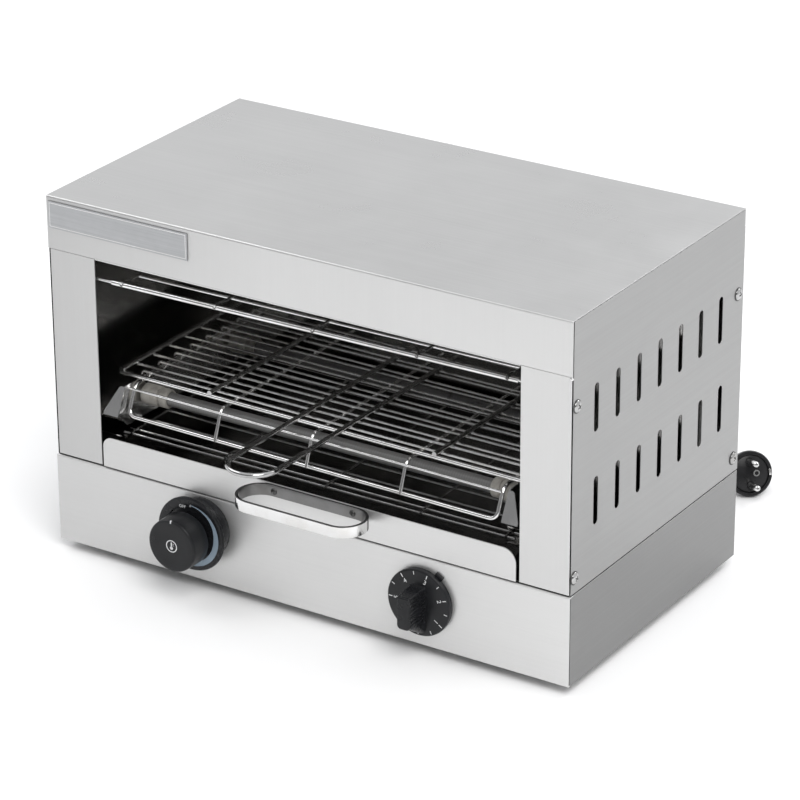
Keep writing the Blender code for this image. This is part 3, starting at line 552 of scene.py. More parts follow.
def coil_point(n):
    angle = math.radians(90.0 - 360.0 * n)
    r = R_COLS[0] - 8.0 * ease((n - 0.75) / 0.25) - 8.0 * ease((n - 1.75) / 0.25)
    r += 8.0 * ease((n - 3.35) / 0.25) + 8.0 * ease((n - 4.35) / 0.25)
    z = floor_z + LAYER * ease((n - 2.55) / 0.30)
    return Vector((COIL_X + r * math.cos(angle), COIL_Y + r * math.sin(angle), z))


coil_pts = [coil_point(i / 40.0) for i in range(0, int(TURNS * 40) + 1)]
turn_out = math.radians(130.0)
leave = Vector((COIL_X + 47.0 * math.cos(turn_out), COIL_Y + 47.0 * math.sin(turn_out), 0.0))
way = Vector((math.sin(turn_out), -math.cos(turn_out), 0.0))
PLUG_FACE = Vector((404.4, 362.0, 10.8))
PLUG_AZ, PLUG_TILT = math.radians(45.0), math.radians(17.5)
axis = Vector((math.sin(PLUG_AZ) * math.cos(PLUG_TILT), -math.cos(PLUG_AZ) * math.cos(PLUG_TILT), math.sin(PLUG_TILT)))
tail = PLUG_FACE - axis * 39.4
start = leave + way * 27.8
tail_route = [(leave.x, leave.y), (start.x, start.y), (298.5, 381.6), (320.5, 395.6), (332.6, 402.2), (345.6, 404.9), (359.3, 402.6), (371.4, 395.0), (tail.x, tail.y)]
RUN_OUT = 27.8


def tail_height(d):
    d -= RUN_OUT
    hump = 0.7 * math.sin(math.pi * min(1.0, max(0.0, (d + RUN_OUT) / RUN_OUT)))
    return floor_z + 7.7 * (1 - ease((d - 4.0) / 66.0)) + hump + (tail.z - floor_z) * ease((d - 131.0 + 24.0) / 24.0)


last = laid(tail_route, tail_height)
last.append(tail + axis * 3.0)
route = first + [Vector((COIL_X - 14.0, COIL_Y + 47.0, floor_z))] + coil_pts + last
clean = [route[0]]
for p in route[1:]:
    if (p - clean[-1]).length > 1.2:
        clean.append(p)
lead_points = [V(*p) for p in clean]
lead = wire_curve("mains_lead_whole", [lead_points], CORD_R, RUBBER, 5)
put(lead, "oven", "mains_lead", "plug_lead", "lead_coil", slot="rubber")

# Strain relief: tapered, ribbed sleeve with a flange against the back panel.
ribs = [(4.1, 31.0), (5.2, 31.0), (5.5, 30.4)]
for k in range(7):
    r0 = 5.5 + 0.33 * k
    z0 = 29.2 - 3.1 * k
    ribs += [(r0, z0), (r0 - 0.75, z0 - 0.4), (r0 - 0.7, z0 - 1.2), (r0 + 0.3, z0 - 1.6)]
ribs += [(8.0, 7.0), (9.6, 6.4), (10.0, 5.8), (10.0, 0.6), (9.6, 0.0), (4.1, 0.0), (4.1, 31.0)]
gland = turned("strain_relief", ribs, 40, RUBBER, Matrix.Translation(V(GLAND_X, DEPTH + 0.3, GLAND_Z)) @ Matrix.Rotation(math.radians(-90), 4, "X"))
put(gland, "oven", "cable_gland", slot="rubber")

# Plug: round moulded body with grip ribs, two pins, side earth clips and an earth socket.
plug_place = Matrix.Translation(V(*PLUG_FACE)) @ axis.to_track_quat("Z", "Y").to_matrix().to_4x4()
plug_body = turned(
    "plug_moulded_body",
    [(0, -2.2), (15.2, -2.2), (15.4, -0.2), (16.2, 0.0), (17.6, -0.3), (18.2, -1.2), (18.1, -5.0), (17.5, -7.4), (16.2, -9.2), (13.6, -12.6), (12.4, -16.0), (11.2, -21.0), (9.0, -27.5), (7.2, -33.0), (6.2, -37.2), (5.4, -38.6), (4.2, -39.0), (4.0, -30.0), (0, -30.0)],
    48,
    PLUG_BLACK,
    plug_place,
)
face_disc = turned("plug_face_insert", [(0, -0.7), (13.8, -0.7), (14.6, -1.2), (14.8, -2.3), (0, -2.3)], 40, PLUG_BLACK, plug_place)
side_axis = (Vector((0, 0, 1)) - axis * axis.z).normalized()
cross_axis = axis.cross(side_axis).normalized()
basis = Matrix.Translation(V(*PLUG_FACE)) @ Matrix((
    (cross_axis.x, side_axis.x, axis.x, 0), (cross_axis.y, side_axis.y, axis.y, 0), (cross_axis.z, side_axis.z, axis.z, 0), (0, 0, 0, 1)))
plug_bits = [plug_body, face_disc]
for sign in (1, -1):
    pin = turned(f"plug_pin_{sign}", [(0, 19.0), (1.2, 18.8), (2.0, 18.0), (2.4, 16.6), (2.4, 0.0), (2.4, -2.0), (0, -2.0)], 24, PIN_METAL, basis @ Matrix.Translation((0, sign * 0.0095, 0)))
    collar = turned(f"plug_collar_{sign}", [(2.4, 0.2), (3.3, 0.2), (3.5, -0.2), (3.5, -1.4), (2.4, -1.4)], 24, PLUG_BLACK, basis @ Matrix.Translation((0, sign * 0.0095, 0)))
    plug_bits += [pin, collar]


def local_block(name, lo, hi, mat, matrix, edge=0.25):
    bm = bmesh.new()
    bmesh.ops.create_cube(bm, size=1.0)
    for v in bm.verts:
        v.co = Vector([(lo[i] if v.co[i] < 0 else hi[i]) / 1000 for i in range(3)])
    if edge:
        bmesh.ops.bevel(bm, geom=list(bm.edges), offset=edge / 1000, segments=2, affect="EDGES", profile=0.6)
    bm.transform(matrix)
    return from_bm(name, bm, mat)


for sign in (1, -1):
    plug_bits.append(local_block(f"earth_clip_{sign}", (sign * 16.2 - 1.0, -2.4, -9.0), (sign * 16.2 + 1.0, 2.4, 0.2), PIN_METAL, basis, 0.3))
plug_bits.append(turned("earth_socket", [(1.6, -0.4), (2.6, -0.4), (2.8, -0.8), (1.6, -1.6)], 20, PIN_METAL, basis @ Matrix.Translation((-0.0052, 0, 0))))
for k in range(10):
    a = 2 * math.pi * k / 10
    m = basis @ Matrix.Rotation(a, 4, "Z")
    plug_bits.append(local_block(f"plug_rib_{k}", (10.6, -1.0, -20.0), (12.6, 1.0, -13.5), PLUG_BLACK, m, 0.4))
plug = join("plug_detailed", plug_bits)
put(shade(plug), "oven", "plug", slot="black_plastic")

# ---------------------------------------------------------------- wire rack
rack_ys = [RACK_Y1 + RACK_PITCH * k for k in range(RACK_WIRES)]
x_lo, x_hi = RACK_X - RACK_HALF, RACK_X + RACK_HALF


def rk(points):
    return yawed(points, RACK_X, RACK_YAW)


thin = [yawed([(x_lo - 0.8, y, 140.6), (x_hi + 0.8, y, 140.6)], RACK_X, THIN_YAW) for y in rack_ys]
rack_thin = wire_curve("rack_cross_wires", thin, 1.15, CHROME, 6)
rack_front = wire_curve("rack_front_rod", [rk([(x_lo - 1.4, RACK_FRONT_Y, 141.1), (x_hi + 1.4, RACK_FRONT_Y, 141.1)])], 1.75, CHROME, 7)
rails = [rk([(x, RACK_FRONT_Y - 1.2, RACK_Z), (x, rack_ys[-1] + 1.6, RACK_Z)]) for x in (x_lo, RACK_X - 97.0, RACK_X + 101.0, x_hi)]
bow = (
    [(LOOP_X - LOOP_R, rack_ys[-1] + 1.6, RACK_Z)]
    + [(LOOP_X - LOOP_R, 60.0, RACK_Z)]
    + [(x, y, RACK_Z) for x, y in arc(LOOP_X, LOOP_TIP_Y + LOOP_R, LOOP_R, 180, 360, 28)]
    + [(LOOP_X + LOOP_R, 60.0, RACK_Z), (LOOP_X + LOOP_R, rack_ys[-1] + 1.6, RACK_Z)]
)
rack_rods = wire_curve("rack_long_rods", rails + [rk(bow)], 1.95, CHROME_SHADED, 7)
put(join("wire_rack_round", [rack_thin, rack_front, rack_rods]), "rack", "wire_rack", slot="chrome_wire")
shade(bpy.data.objects["wire_rack_round"], 50)

# ---------------------------------------------------------------- lower guard
gx0, gx1 = 225.0 - GUARD_HALF, 225.0 + GUARD_HALF
frame_z = GUARD_Z - 2.35


def gd(points):
    return yawed(points, 225.0, GUARD_YAW)


guard_ys = [37.0 + 20.25 * k for k in range(8)]
g_runs = []
for y in guard_ys:
    g_runs.append(gd(filleted([(gx0 - 7.8, y, 135.4), (gx0 - 6.5, y, GUARD_Z), (gx1 + 6.5, y, GUARD_Z), (gx1 + 7.8, y, 135.4)], 1.4, 4)))
g_cross = wire_curve("guard_cross", g_runs, 1.05, CHROME, 5)
g_front = wire_curve("guard_front_thin", [gd([(gx0 - 1.2, 13.6, 133.5), (gx1 + 1.2, 13.6, 133.5)])], 1.0, CHROME, 6)
corner = filleted(
    [(gx0, 190.0, frame_z), (gx0, 18.6, frame_z), (gx0, 9.1, 113.0), (gx1, 9.1, 113.0), (gx1, 18.6, frame_z), (gx1, 190.0, frame_z)], 7.0, 8)
g_frame = wire_curve("guard_frame", [gd(corner)], 1.65, STRAP, 7)
post_runs = []
for px in (225.0 - 82.2, 225.0, 225.0 + 82.2):
    post_runs.append(gd(filleted([(px, 190.0, frame_z + 0.3), (px, 16.4, frame_z + 0.3), (px, 7.6, 112.4)], 6.0, 6)))
g_posts = wire_curve("guard_posts", post_runs, 1.45, STRAP, 6)
put(join("lower_guard_round", [g_cross, g_front, g_frame, g_posts]), "oven", "lower_guard", slot="chrome_wire")
shade(bpy.data.objects["lower_guard_round"], 50)

# ---------------------------------------------------------------- upper guard


def ug(points):
    return yawed(points, 225.0, UPPER_YAW)


upper_ys = [28.5 + 19.5 * k for k in range(8)]
u_runs = [ug([(62.0, y, UPPER_Z), (394.0, y, UPPER_Z)]) for y in upper_ys]
u_runs += [ug([(15.7, 6.8, UPPER_Z + 0.9), (431.0, 6.8, UPPER_Z + 0.9)]), ug([(18.7, 184.5, UPPER_Z), (433.7, 184.5, UPPER_Z)])]
u_thin = wire_curve("upper_thin", u_runs, 1.1, CHROME, 6)
u_sleeve = wire_curve("upper_sleeve", [ug([(54.0, 6.8, UPPER_Z + 0.9), (400.0, 6.8, UPPER_Z + 0.9)])], 2.05, CHROME, 8)
hooks = []
for x in (64.0, 146.5, 231.0, 318.5, 392.0):
    hooks.append(ug(filleted([(x, 187.0, UPPER_Z + 1.9), (x, 14.0, UPPER_Z + 1.9), (x, 9.6, UPPER_Z + 3.6), (x, 6.2, UPPER_Z + 3.7), (x, 3.4, UPPER_Z + 1.4)], 2.4, 4)))
u_bars = wire_curve("upper_bars", hooks, 1.2, CHROME_SHADED, 6)
put(join("upper_guard_round", [u_thin, u_sleeve, u_bars]), "oven", "upper_guard", slot="chrome_wire")
shade(bpy.data.objects["upper_guard_round"], 50)

# ---------------------------------------------------------------- low grid
low_ys = [15.0, 23.0] + [43.0 + 20.0 * k for k in range(8)]
l_runs = [[V(53.4, y, LOW_Z), V(WIDTH - 53.4, y, LOW_Z)] for y in low_ys]
l_thin = wire_curve("low_cross", l_runs, 1.1, CHROME_SHADED, 5)
l_bars = []
for x in (60.5, 146.0, 236.0, 318.0, WIDTH - 60.5):
    l_bars.append([V(*p) for p in filleted([(x, 185.5, LOW_Z + 1.75), (x, 18.0, LOW_Z + 1.75), (x, 13.6, LOW_Z + 0.2)], 2.0, 4)])
l_rods = wire_curve("low_bars", l_bars, 1.1, CHROME_SHADED, 5)
put(join("low_grid_round", [l_thin, l_rods]), "oven", "low_grid", slot="chrome_wire")
shade(bpy.data.objects["low_grid_round"], 50)

# ---------------------------------------------------------------- quartz tubes and ceramic ends
for row, tz in (("lower", TUBE_Z[0]), ("upper", TUBE_Z[1])):
    for col, ty in (("front", TUBE_Y[0]), ("rear", TUBE_Y[1])):
        across = Matrix.Translation(V(225.0, ty, tz)) @ Matrix.Rotation(math.radians(90), 4, "Y")
        half = (WIDTH - 2 * CERAMIC_X) / 2 + 6.0
        tube = turned(f"tube_{row}_{col}", [(0, half), (5.0, half), (5.3, half - 0.4), (5.3, -half + 0.4), (5.0, -half), (0, -half)], 32, QUARTZ, across)
        put(tube, "oven", f"quartz_tube_{row}_{col}", slot="quartz_glass")
        for side, sign in (("left", -1), ("right", 1)):
            inner = CERAMIC_X if sign < 0 else WIDTH - CERAMIC_X
            m = Matrix.Translation(V(inner, ty, tz)) @ Matrix.Rotation(math.radians(90 * sign), 4, "Y")
            profile = [(0, 24.4), (2.2, 24.4), (2.6, 23.6), (6.9, 23.4), (7.8, 22.6), (8.0, 21.6), (8.0, 9.4), (7.6, 8.6), (6.4, 8.4), (6.2, 7.8), (6.4, 7.2), (7.2, 7.0), (7.5, 6.4), (7.5, 0.8), (7.0, 0.0), (5.6, 0.0), (5.6, 6.3), (0, 6.3)]
            end = turned(f"ceramic_end_{row}_{col}_{side}", profile, 32, CERAMIC, m)
            put(end, "oven", f"ceramic_{row}_{col}_{side}", slot="ceramic")

# ---------------------------------------------------------------- tube holders
LEAN = math.atan2(10.1, 20.5)
for side, sign in (("left", 1), ("right", -1)):

    def sx(value):
        return value if sign > 0 else WIDTH - value

    web = sheet_plate(f"holder_web_{side}", [[(13.0, 136.2), (228.0, 136.2), (228.0, 104.0), (13.0, 104.0), (4.6, 113.6), (3.0, 116.0)]], 0.9, "YZ", (sx(WEB_X - 0.45), 0, 0), BRACKET, 0.15)
    shelf = block(f"holder_shelf_{side}", (min(sx(LINER_X0 + 0.3), sx(WEB_X - 0.4)), 16.0, 104.2), (max(sx(LINER_X0 + 0.3), sx(WEB_X - 0.4)), 226.0, 105.1), LINER, 0.0)
    outline = [(-13.4, 0.0), (0.0, 0.0), (0.0, 23.4), (-3.6, 23.4), (-5.0, 22.4), (-12.6, 4.4), (-13.4, 2.0)]
    data = bpy.data.curves.new(f"holder_flange_{side}", "CURVE")
    data.dimensions = "2D"
    data.fill_mode = "BOTH"
    data.extrude = 0.00045
    spline = data.splines.new("POLY")
    spline.points.add(len(outline) - 1)
    for slot_, (ox, oz) in zip(spline.points, outline):
        slot_.co = (sign * ox / 1000, oz / 1000, 0, 1)
    spline.use_cyclic_u = True
    flange = link(f"holder_flange_{side}", data, BRACKET)
    flange.rotation_euler = (math.radians(90) - LEAN, 0, 0)
    flange.location = V(sx(WEB_X), 2.0, 114.5)
    put(join(f"tube_holder_sheet_{side}", [web, shelf, flange]), "oven", f"tube_holder_{side}", slot="polished_stainless")

# ---------------------------------------------------------------- casing sheets
GAPW = 1.0


def rounded_profile(points, radii, n=6):
    """2D outline whose corners get their own radius."""
    out = []
    count = len(points)
    for i in range(count):
        b = Vector(points[i])
        r = radii[i]
        if r <= 0:
            out.append(tuple(b))
            continue
        u = (Vector(points[i - 1]) - b).normalized()
        w = (Vector(points[(i + 1) % count]) - b).normalized()
        half = math.acos(max(-1, min(1, u.dot(w)))) / 2
        cut = r / math.tan(half)
        p0, p1 = b + u * cut, b + w * cut
        for k in range(n + 1):
            t = k / n
            out.append(tuple(p0 * (1 - t) ** 2 + b * (2 * t * (1 - t)) + p1 * t ** 2))
    return out


H = HEIGHT
cover_out = [(0, OPEN_TOP + 0.2), (0, H), (DEPTH, H), (DEPTH, H - 14), (DEPTH - 1, H - 14), (DEPTH - 1, H - 1), (1, H - 1), (1, OPEN_TOP + 0.2)]
cover_rad = [0, 1.9, 1.9, 0, 0, 0.9, 0.9, 0]
cover = sheet_plate("cover_sheet", [rounded_profile(cover_out, cover_rad, 8)], WIDTH, "YZ", (WIDTH / 2, 0, 0), STEEL_TOP, 0.3, 2)
cover.data.materials.append(STEEL_FRONT)
for p in cover.data.polygons:
    if p.normal.y < -0.5:
        p.material_index = 1
put(cover, "oven", "top_cover", slot="satin_stainless")

for side, x0, x1 in (("left", 2.0, OPEN_X0), ("right", OPEN_X1, WIDTH - 0.6)):
    stile = sheet_plate(f"stile_sheet_{side}", [[(x0, SEAM_Z + 0.8), (x1, SEAM_Z + 0.8), (x1, OPEN_TOP - 0.1), (x0, OPEN_TOP - 0.1)]], 1.0, "XZ", (0, 0.5, 0), STEEL_FRONT, 0.18, 2)
    put(stile, "oven", f"front_stile_{side}", slot="satin_stainless")

slots = []
for row_y, row_step, row_z in ((34.0, 30.2, 205.2), (35.0, 30.5, 133.2)):
    for k in range(7):
        slots.append(stadium(row_y + row_step * k, row_z, 18.6, 3.05, 8))
for side, x in (("left", 0.35), ("right", WIDTH - 0.35)):
    outline = [(2.1, SEAM_Z - 0.2), (DEPTH - 0.3, SEAM_Z - 0.2), (DEPTH - 0.3, H - 14.3), (DEPTH - 1.3, H - 14.3), (DEPTH - 1.3, H - 1.3), (2.1, H - 1.3)]
    panel = sheet_plate(f"side_sheet_{side}", [outline] + slots, 0.7, "YZ", (x, 0, 0), STEEL_SIDE_SHADED, 0.12, 2)
    put(panel, "oven", f"side_panel_{side}", slot="satin_stainless")

back_low, back_high = SEAM_Z + 0.9, H - 14.3
back_slots = [stadium(225.0 + 30.0 * k, 210.0, 18.0, 2.0, 8) for k in range(-4, 5)]
put(sheet_plate("back_sheet", [[(1.3, back_low), (WIDTH - 1.3, back_low), (WIDTH - 1.3, back_high), (1.3, back_high)]] + back_slots, 1.0, "XZ", (0, DEPTH - 0.5, 0), STEEL_BACK, 0.16, 2), "oven", "back_panel", slot="satin_stainless")

# Base: front sheet with rolled top and bottom edges, two side sheets behind it.
E = 0.5
front_profile = rounded_profile([(-E, 0), (-E, BASE_H), (5.0, BASE_H), (5.0, BASE_H - 1), (E, BASE_H - 1), (E, 1), (5.0, 1), (5.0, 0)], [1.2, 1.3, 0, 0, 0.4, 0.4, 0, 0], 6)
base_front = sheet_plate("base_front_sheet", [front_profile], WIDTH + 2 * E, "YZ", (WIDTH / 2, 0, 0), STEEL_BASE, 0.22, 2)
base_sides = []
for name, x in (("l", -E + 0.5), ("r", WIDTH + E - 0.5)):
    base_sides.append(sheet_plate(f"base_side_{name}", [[(1.4, 0.0), (DEPTH - 1.6, 0.0), (DEPTH - 1.6, BASE_H), (1.4, BASE_H)]], 1.0, "YZ", (x, 0, 0), STEEL_BASE_SIDE_SHADED, 0.18, 2))
put(join("base_sheets", [base_front] + base_sides), "oven", "base_housing", slot="satin_stainless")
gland_hole = arc(GLAND_X, GLAND_Z, 6.4, 0, 345, 23)
put(sheet_plate("base_back_sheet", [[(0.9, 1.5), (WIDTH - 0.9, 1.5), (WIDTH - 0.9, BASE_H - 0.6), (0.9, BASE_H - 0.6)], gland_hole], 1.0, "XZ", (0, DEPTH - 0.5, 0), STEEL_BACK, 0.16, 2), "oven", "base_back_panel", slot="satin_stainless")
# Painted shadow: flat black strips in the seam between base and body and in the gap beside the left stile, where only
# shade falls.
SHADOW = moulded("painted_gap_shadow", (0.010, 0.010, 0.010), 0.8, 300.0, 0.1)
strips = [
    block("seam_strip_left", (1.0, 1.1, 70.3), (OPEN_X0 + 0.6, 1.7, 73.4), SHADOW, 0.0),
    block("seam_strip_mid", (OPEN_X0 + 0.6, 1.1, 70.3), (OPEN_X1 - 0.6, 1.7, 72.2), SHADOW, 0.0),
    block("seam_strip_right", (OPEN_X1 - 0.6, 1.1, 70.3), (WIDTH - 1.0, 1.7, 73.4), SHADOW, 0.0),
    block("edge_strip_left", (0.15, 1.0, SEAM_Z), (1.9, 1.9, OPEN_TOP - 0.2), SHADOW, 0.0),
]
put(join("painted_gap_shadow_strips", strips), "oven", slot="rubber")
hem = wire_curve("header_rolled_edge", [[V(OPEN_X0 + 0.5, 1.0, OPEN_TOP - 0.35), V(OPEN_X1 - 0.5, 1.0, OPEN_TOP - 0.35)]], 0.75, STEEL_EDGE, 4)
put(hem, "oven", slot="satin_stainless")
nub = turned("header_weld_nub", [(0, 0.9), (0.8, 0.75), (1.4, 0.2), (1.5, -0.4), (0, -0.9)], 16, STEEL_EDGE, frontwards(WIDTH - 0.6, -0.1, OPEN_TOP - 1.0))
put(nub, "oven", slot="satin_stainless")

# ---------------------------------------------------------------- label plate
label = sheet_plate("label_plate_blank", [[(2.0, 257.0), (128.0, 257.0), (128.0, 278.2), (2.0, 278.2)]], 0.6, "XZ", (0, -0.6, 0), LABEL, 0.12, 1)
rim = sheet_plate("label_rim", [[(3.2, 258.2), (126.8, 258.2), (126.8, 277.0), (3.2, 277.0)], [(3.7, 258.7), (126.3, 258.7), (126.3, 276.5), (3.7, 276.5)]], 0.1, "XZ", (0, -0.93, 0), LABEL_EDGE)
put(join("label_plate_whole", [label, rim]), "oven", "badge_plate", slot="badge_plate")


# ---------------------------------------------------------------- screws
def screw_head(name, radius, height, mat, matrix):
    """Pan head with a cross recess."""
    r = radius
    head = turned(name, [(0, height), (r * 0.28, height * 0.96), (r * 0.52, height * 0.84), (r * 0.74, height * 0.62), (r * 0.9, height * 0.36), (r, height * 0.08), (r, 0.0), (0, 0.0)], 32, mat, Matrix.Identity(4), 50)
    for k in range(2):
        bm = bmesh.new()
        bmesh.ops.create_cube(bm, size=1.0)
        for v in bm.verts:
            deep = v.co.z < 0
            v.co.x *= (r * (0.55 if deep else 1.15)) / 1000
            v.co.y *= (r * 0.2) / 1000
            v.co.z = (height * 0.35 if deep else height * 1.2) / 1000
        bm.transform(Matrix.Rotation(math.radians(90 * k + 25), 4, "Z"))
        cut = from_bm(f"{name}_cut{k}", bm, mat)
        mod = head.modifiers.new("cut", "BOOLEAN")
        mod.object = cut
        mod.operation = "DIFFERENCE"
        mod.solver = "EXACT"
        bpy.context.view_layer.update()
        mesh = bpy.data.meshes.new_from_object(head.evaluated_get(bpy.context.evaluated_depsgraph_get()))
        head.modifiers.clear()
        head.data = mesh
        bpy.data.objects.remove(cut, do_unlink=True)
    head.data.transform(matrix)
    return shade(head, 40)


for side, x, turn in (("left", -0.05, -90), ("right", WIDTH + 0.05, 90)):
    for index, (label_, y, z) in enumerate((("front_high", 7.3, 216.0), ("front_low", 7.0, 84.0), ("rear_high", 242.0, 216.5), ("rear_low", 242.0, 83.5))):
        m = Matrix.Translation(V(x, y, z)) @ Matrix.Rotation(math.radians(turn), 4, "Y") @ Matrix.Rotation(math.radians(37 * index), 4, "Z")
        head = screw_head(f"pan_screw_{side}_{label_}", 4.7, 2.2, SCREW_MAT, m)
        # Painted shadow: a flat dark ring just behind each screw head, standing in for the shade around the domed head.
        rest = Matrix.Translation(V(x, y - 0.35, z)) @ Matrix.Rotation(math.radians(turn), 4, "Y")
        shade_ring = turned(f"screw_shade_ring_{side}_{label_}", [(0, 0.45), (4.9, 0.45), (5.2, 0.3), (5.2, 0.0), (0, 0.0)], 32, SCREW_DARK, rest)
        put(join(f"pan_screw_set_{side}_{label_}", [head, shade_ring]), "oven", f"screw_{side}_{label_}", slot="zinc_steel")

# ---------------------------------------------------------------- crumb tray and its handle
TX0, TX1, TZ0, TZ1 = 44.5, 406.7, 72.7, 97.2
tray_outline = [(TX0, TZ0), (TX1, TZ0)] + arc(TX1 - 11.0, TZ1 - 11.0, 11.0, 0, 90, 12) + arc(TX0 + 8.0, TZ1 - 8.0, 8.0, 90, 180, 12)
tray_front = sheet_plate("tray_front_sheet", [tray_outline], 1.0, "XZ", (0, -0.5, 0), STEEL_BASE, 0.2, 2)
pan_bits = [
    block("pan_floor", (48.0, 0.1, 73.0), (404.0, 226.0, 73.8), PAN, 0.0),
    block("pan_left", (48.0, 0.1, 73.8), (48.8, 226.0, 90.0), PAN, 0.0),
    block("pan_right", (403.2, 0.1, 73.8), (404.0, 226.0, 90.0), PAN, 0.0),
    block("pan_back", (48.8, 225.2, 73.8), (403.2, 226.0, 90.0), PAN, 0.0),
]
put(join("crumb_tray_sheets", [tray_front] + pan_bits), "tray", "crumb_tray", slot="satin_stainless")
HX0, HX1, HY0, HY1, HT = 182.2, 291.7, -1.3, -37.5, 2.4
h_mid, h_len, h_rad = (HX0 + HX1) / 2, (HX1 - HX0) / 2, (HY0 - HY1) / 2
strap = sheet_plate(
    "handle_strap",
    [stadium(h_mid, (HY0 + HY1) / 2, h_len, h_rad, 32, vertical=False), stadium(h_mid, (HY0 + HY1) / 2, h_len - HT, h_rad - HT, 32, vertical=False)],
    9.0, "XY", (0, 0, 92.6), STRAP, 0.35, 2)
strap.data.materials.append(STRAP_INNER)
mid_y, z_mid = V(0, (HY0 + HY1) / 2, 0).y, V(0, 0, 92.6).z
for p in strap.data.polygons:
    inner = Vector((0.0, p.center.y - mid_y)).dot(Vector((0.0, p.normal.y))) < 0 or (abs(p.normal.z) < 0.5 and abs(p.center.x - V(h_mid, 0, 0).x) > (h_len - h_rad) / 1000 and (p.center.x - V(h_mid, 0, 0).x) * p.normal.x < 0)
    if abs(p.normal.z) > 0.5 or (inner and p.center.y > mid_y - 0.004) or (p.center.y > mid_y + 0.004):
        p.material_index = 1
put(strap, "tray", "tray_handle", slot="chrome_wire")
for index, hx in enumerate((202.2, 270.7)):
    m = frontwards(hx, HY0 - HT - 0.1, 92.4) @ Matrix.Rotation(math.radians(20 + 50 * index), 4, "Z")
    put(screw_head(f"strap_screw_{index + 1}", 2.6, 1.3, SCREW_DARK, m), "tray", f"handle_screw_{index + 1}", slot="chrome_wire")


# ---------------------------------------------------------------- thermostat knob
def flat_print(name, pieces, y, thickness, mat, cx, cz):
    """Printed marks: small convex outlines in the front plane, each a list of (x, z) about the control's axis."""
    bm = bmesh.new()
    for outline in pieces:
        area = sum(a[0] * b[1] - b[0] * a[1] for a, b in zip(outline, outline[1:] + outline[:1]))
        pts = outline if area > 0 else outline[::-1]
        lo = [bm.verts.new(V(cx + x, y, cz + z)) for x, z in pts]
        hi = [bm.verts.new(V(cx + x, y - thickness, cz + z)) for x, z in pts]
        bm.faces.new(hi)
        bm.faces.new(lo[::-1])
        n = len(pts)
        for i in range(n):
            j = (i + 1) % n
            bm.faces.new((lo[i], lo[j], hi[j], hi[i]))
    bmesh.ops.recalc_face_normals(bm, faces=bm.faces)
    return from_bm(name, bm, mat, 20)


def tick(angle, r0, r1, width):
    a = math.radians(angle)
    c, s = math.cos(a), math.sin(a)
    h = width / 2
    return [(r0 * c - h * -s, r0 * s - h * c), (r1 * c - h * -s, r1 * s - h * c), (r1 * c + h * -s, r1 * s + h * c), (r0 * c + h * -s, r0 * s + h * c)]


def text_mesh(name, body, size, place, mat):
    data = bpy.data.curves.new(name, "FONT")
    data.body = body
    data.size = size / 1000
    data.extrude = 0.00006
    data.align_x = "CENTER"
    data.align_y = "CENTER"
    data.resolution_u = 4
    obj = link(name, data, mat)
    obj.matrix_world = place
    bpy.context.view_layer.update()
    mesh = bpy.data.meshes.new_from_object(obj.evaluated_get(bpy.context.evaluated_depsgraph_get()))
    mesh.transform(obj.matrix_world)
    bpy.data.objects.remove(obj, do_unlink=True)
    out = bpy.data.objects.new(name, mesh)
    bpy.context.scene.collection.objects.link(out)
    if not mesh.materials:
        mesh.materials.append(mat)
    return out


flange = turned(
    "thermostat_collar",
    [(7.0, 11.2), (21.7, 11.2), (22.4, 11.8), (23.2, 12.0), (28.4, 12.0), (29.1, 11.7), (29.5, 10.9), (29.6, 10.0), (29.4, 9.2), (28.8, 8.5), (28.0, 8.2), (7.0, 8.2), (7.0, 11.2)],
    80,
    BLACK,
    frontwards(THERMO_X, -0.8, THERMO_Z),
)
boss = turned(
    "thermostat_boss",
    [(10.5, 9.4), (23.6, 9.4), (23.8, 9.0), (23.8, 0.6), (23.4, 0.0), (10.5, 0.0), (10.5, 9.4)],
    72,
    BLACK,
    frontwards(THERMO_X + 4.2, -0.8, THERMO_Z + 3.2),
)
band = []
steps = 72
for i in range(steps):
    a0, a1 = 86.0 - 270.0 * i / steps, 86.0 - 270.0 * (i + 1) / steps

    def width(a):
        t = (86.0 - a) / 270.0
        return (0.7 + 3.9 * ease(t * 2.6)) * (1 - 0.35 * ease((t - 0.42) / 0.35))

    c0, s0, c1, s1 = math.cos(math.radians(a0)), math.sin(math.radians(a0)), math.cos(math.radians(a1)), math.sin(math.radians(a1))
    ro = 25.6 - 1.2 * (1 - ease((86.0 - a0) / 60.0))
    band.append([(ro * c0, ro * s0), ((ro - width(a0)) * c0, (ro - width(a0)) * s0), ((ro - width(a1)) * c1, (ro - width(a1)) * s1), (ro * c1, ro * s1)])
band_mesh = flat_print("ring_band", band, -12.79, 0.1, INK_BLUE, THERMO_X, THERMO_Z)
off_mark = text_mesh("ring_off_mark", "OFF", 3.4, frontwards(THERMO_X - 6.3, -12.8, THERMO_Z + 21.6) @ Matrix.Rotation(math.radians(0), 4, "Z"), INK)
ring_tick = flat_print("ring_tick", [tick(88.0, 22.8, 24.6, 0.5)], -12.79, 0.1, INK, THERMO_X, THERMO_Z)
put(join("thermostat_collar_printed", [flange, boss, band_mesh, off_mark, ring_tick]), "oven", "thermostat_bezel", slot="black_plastic")

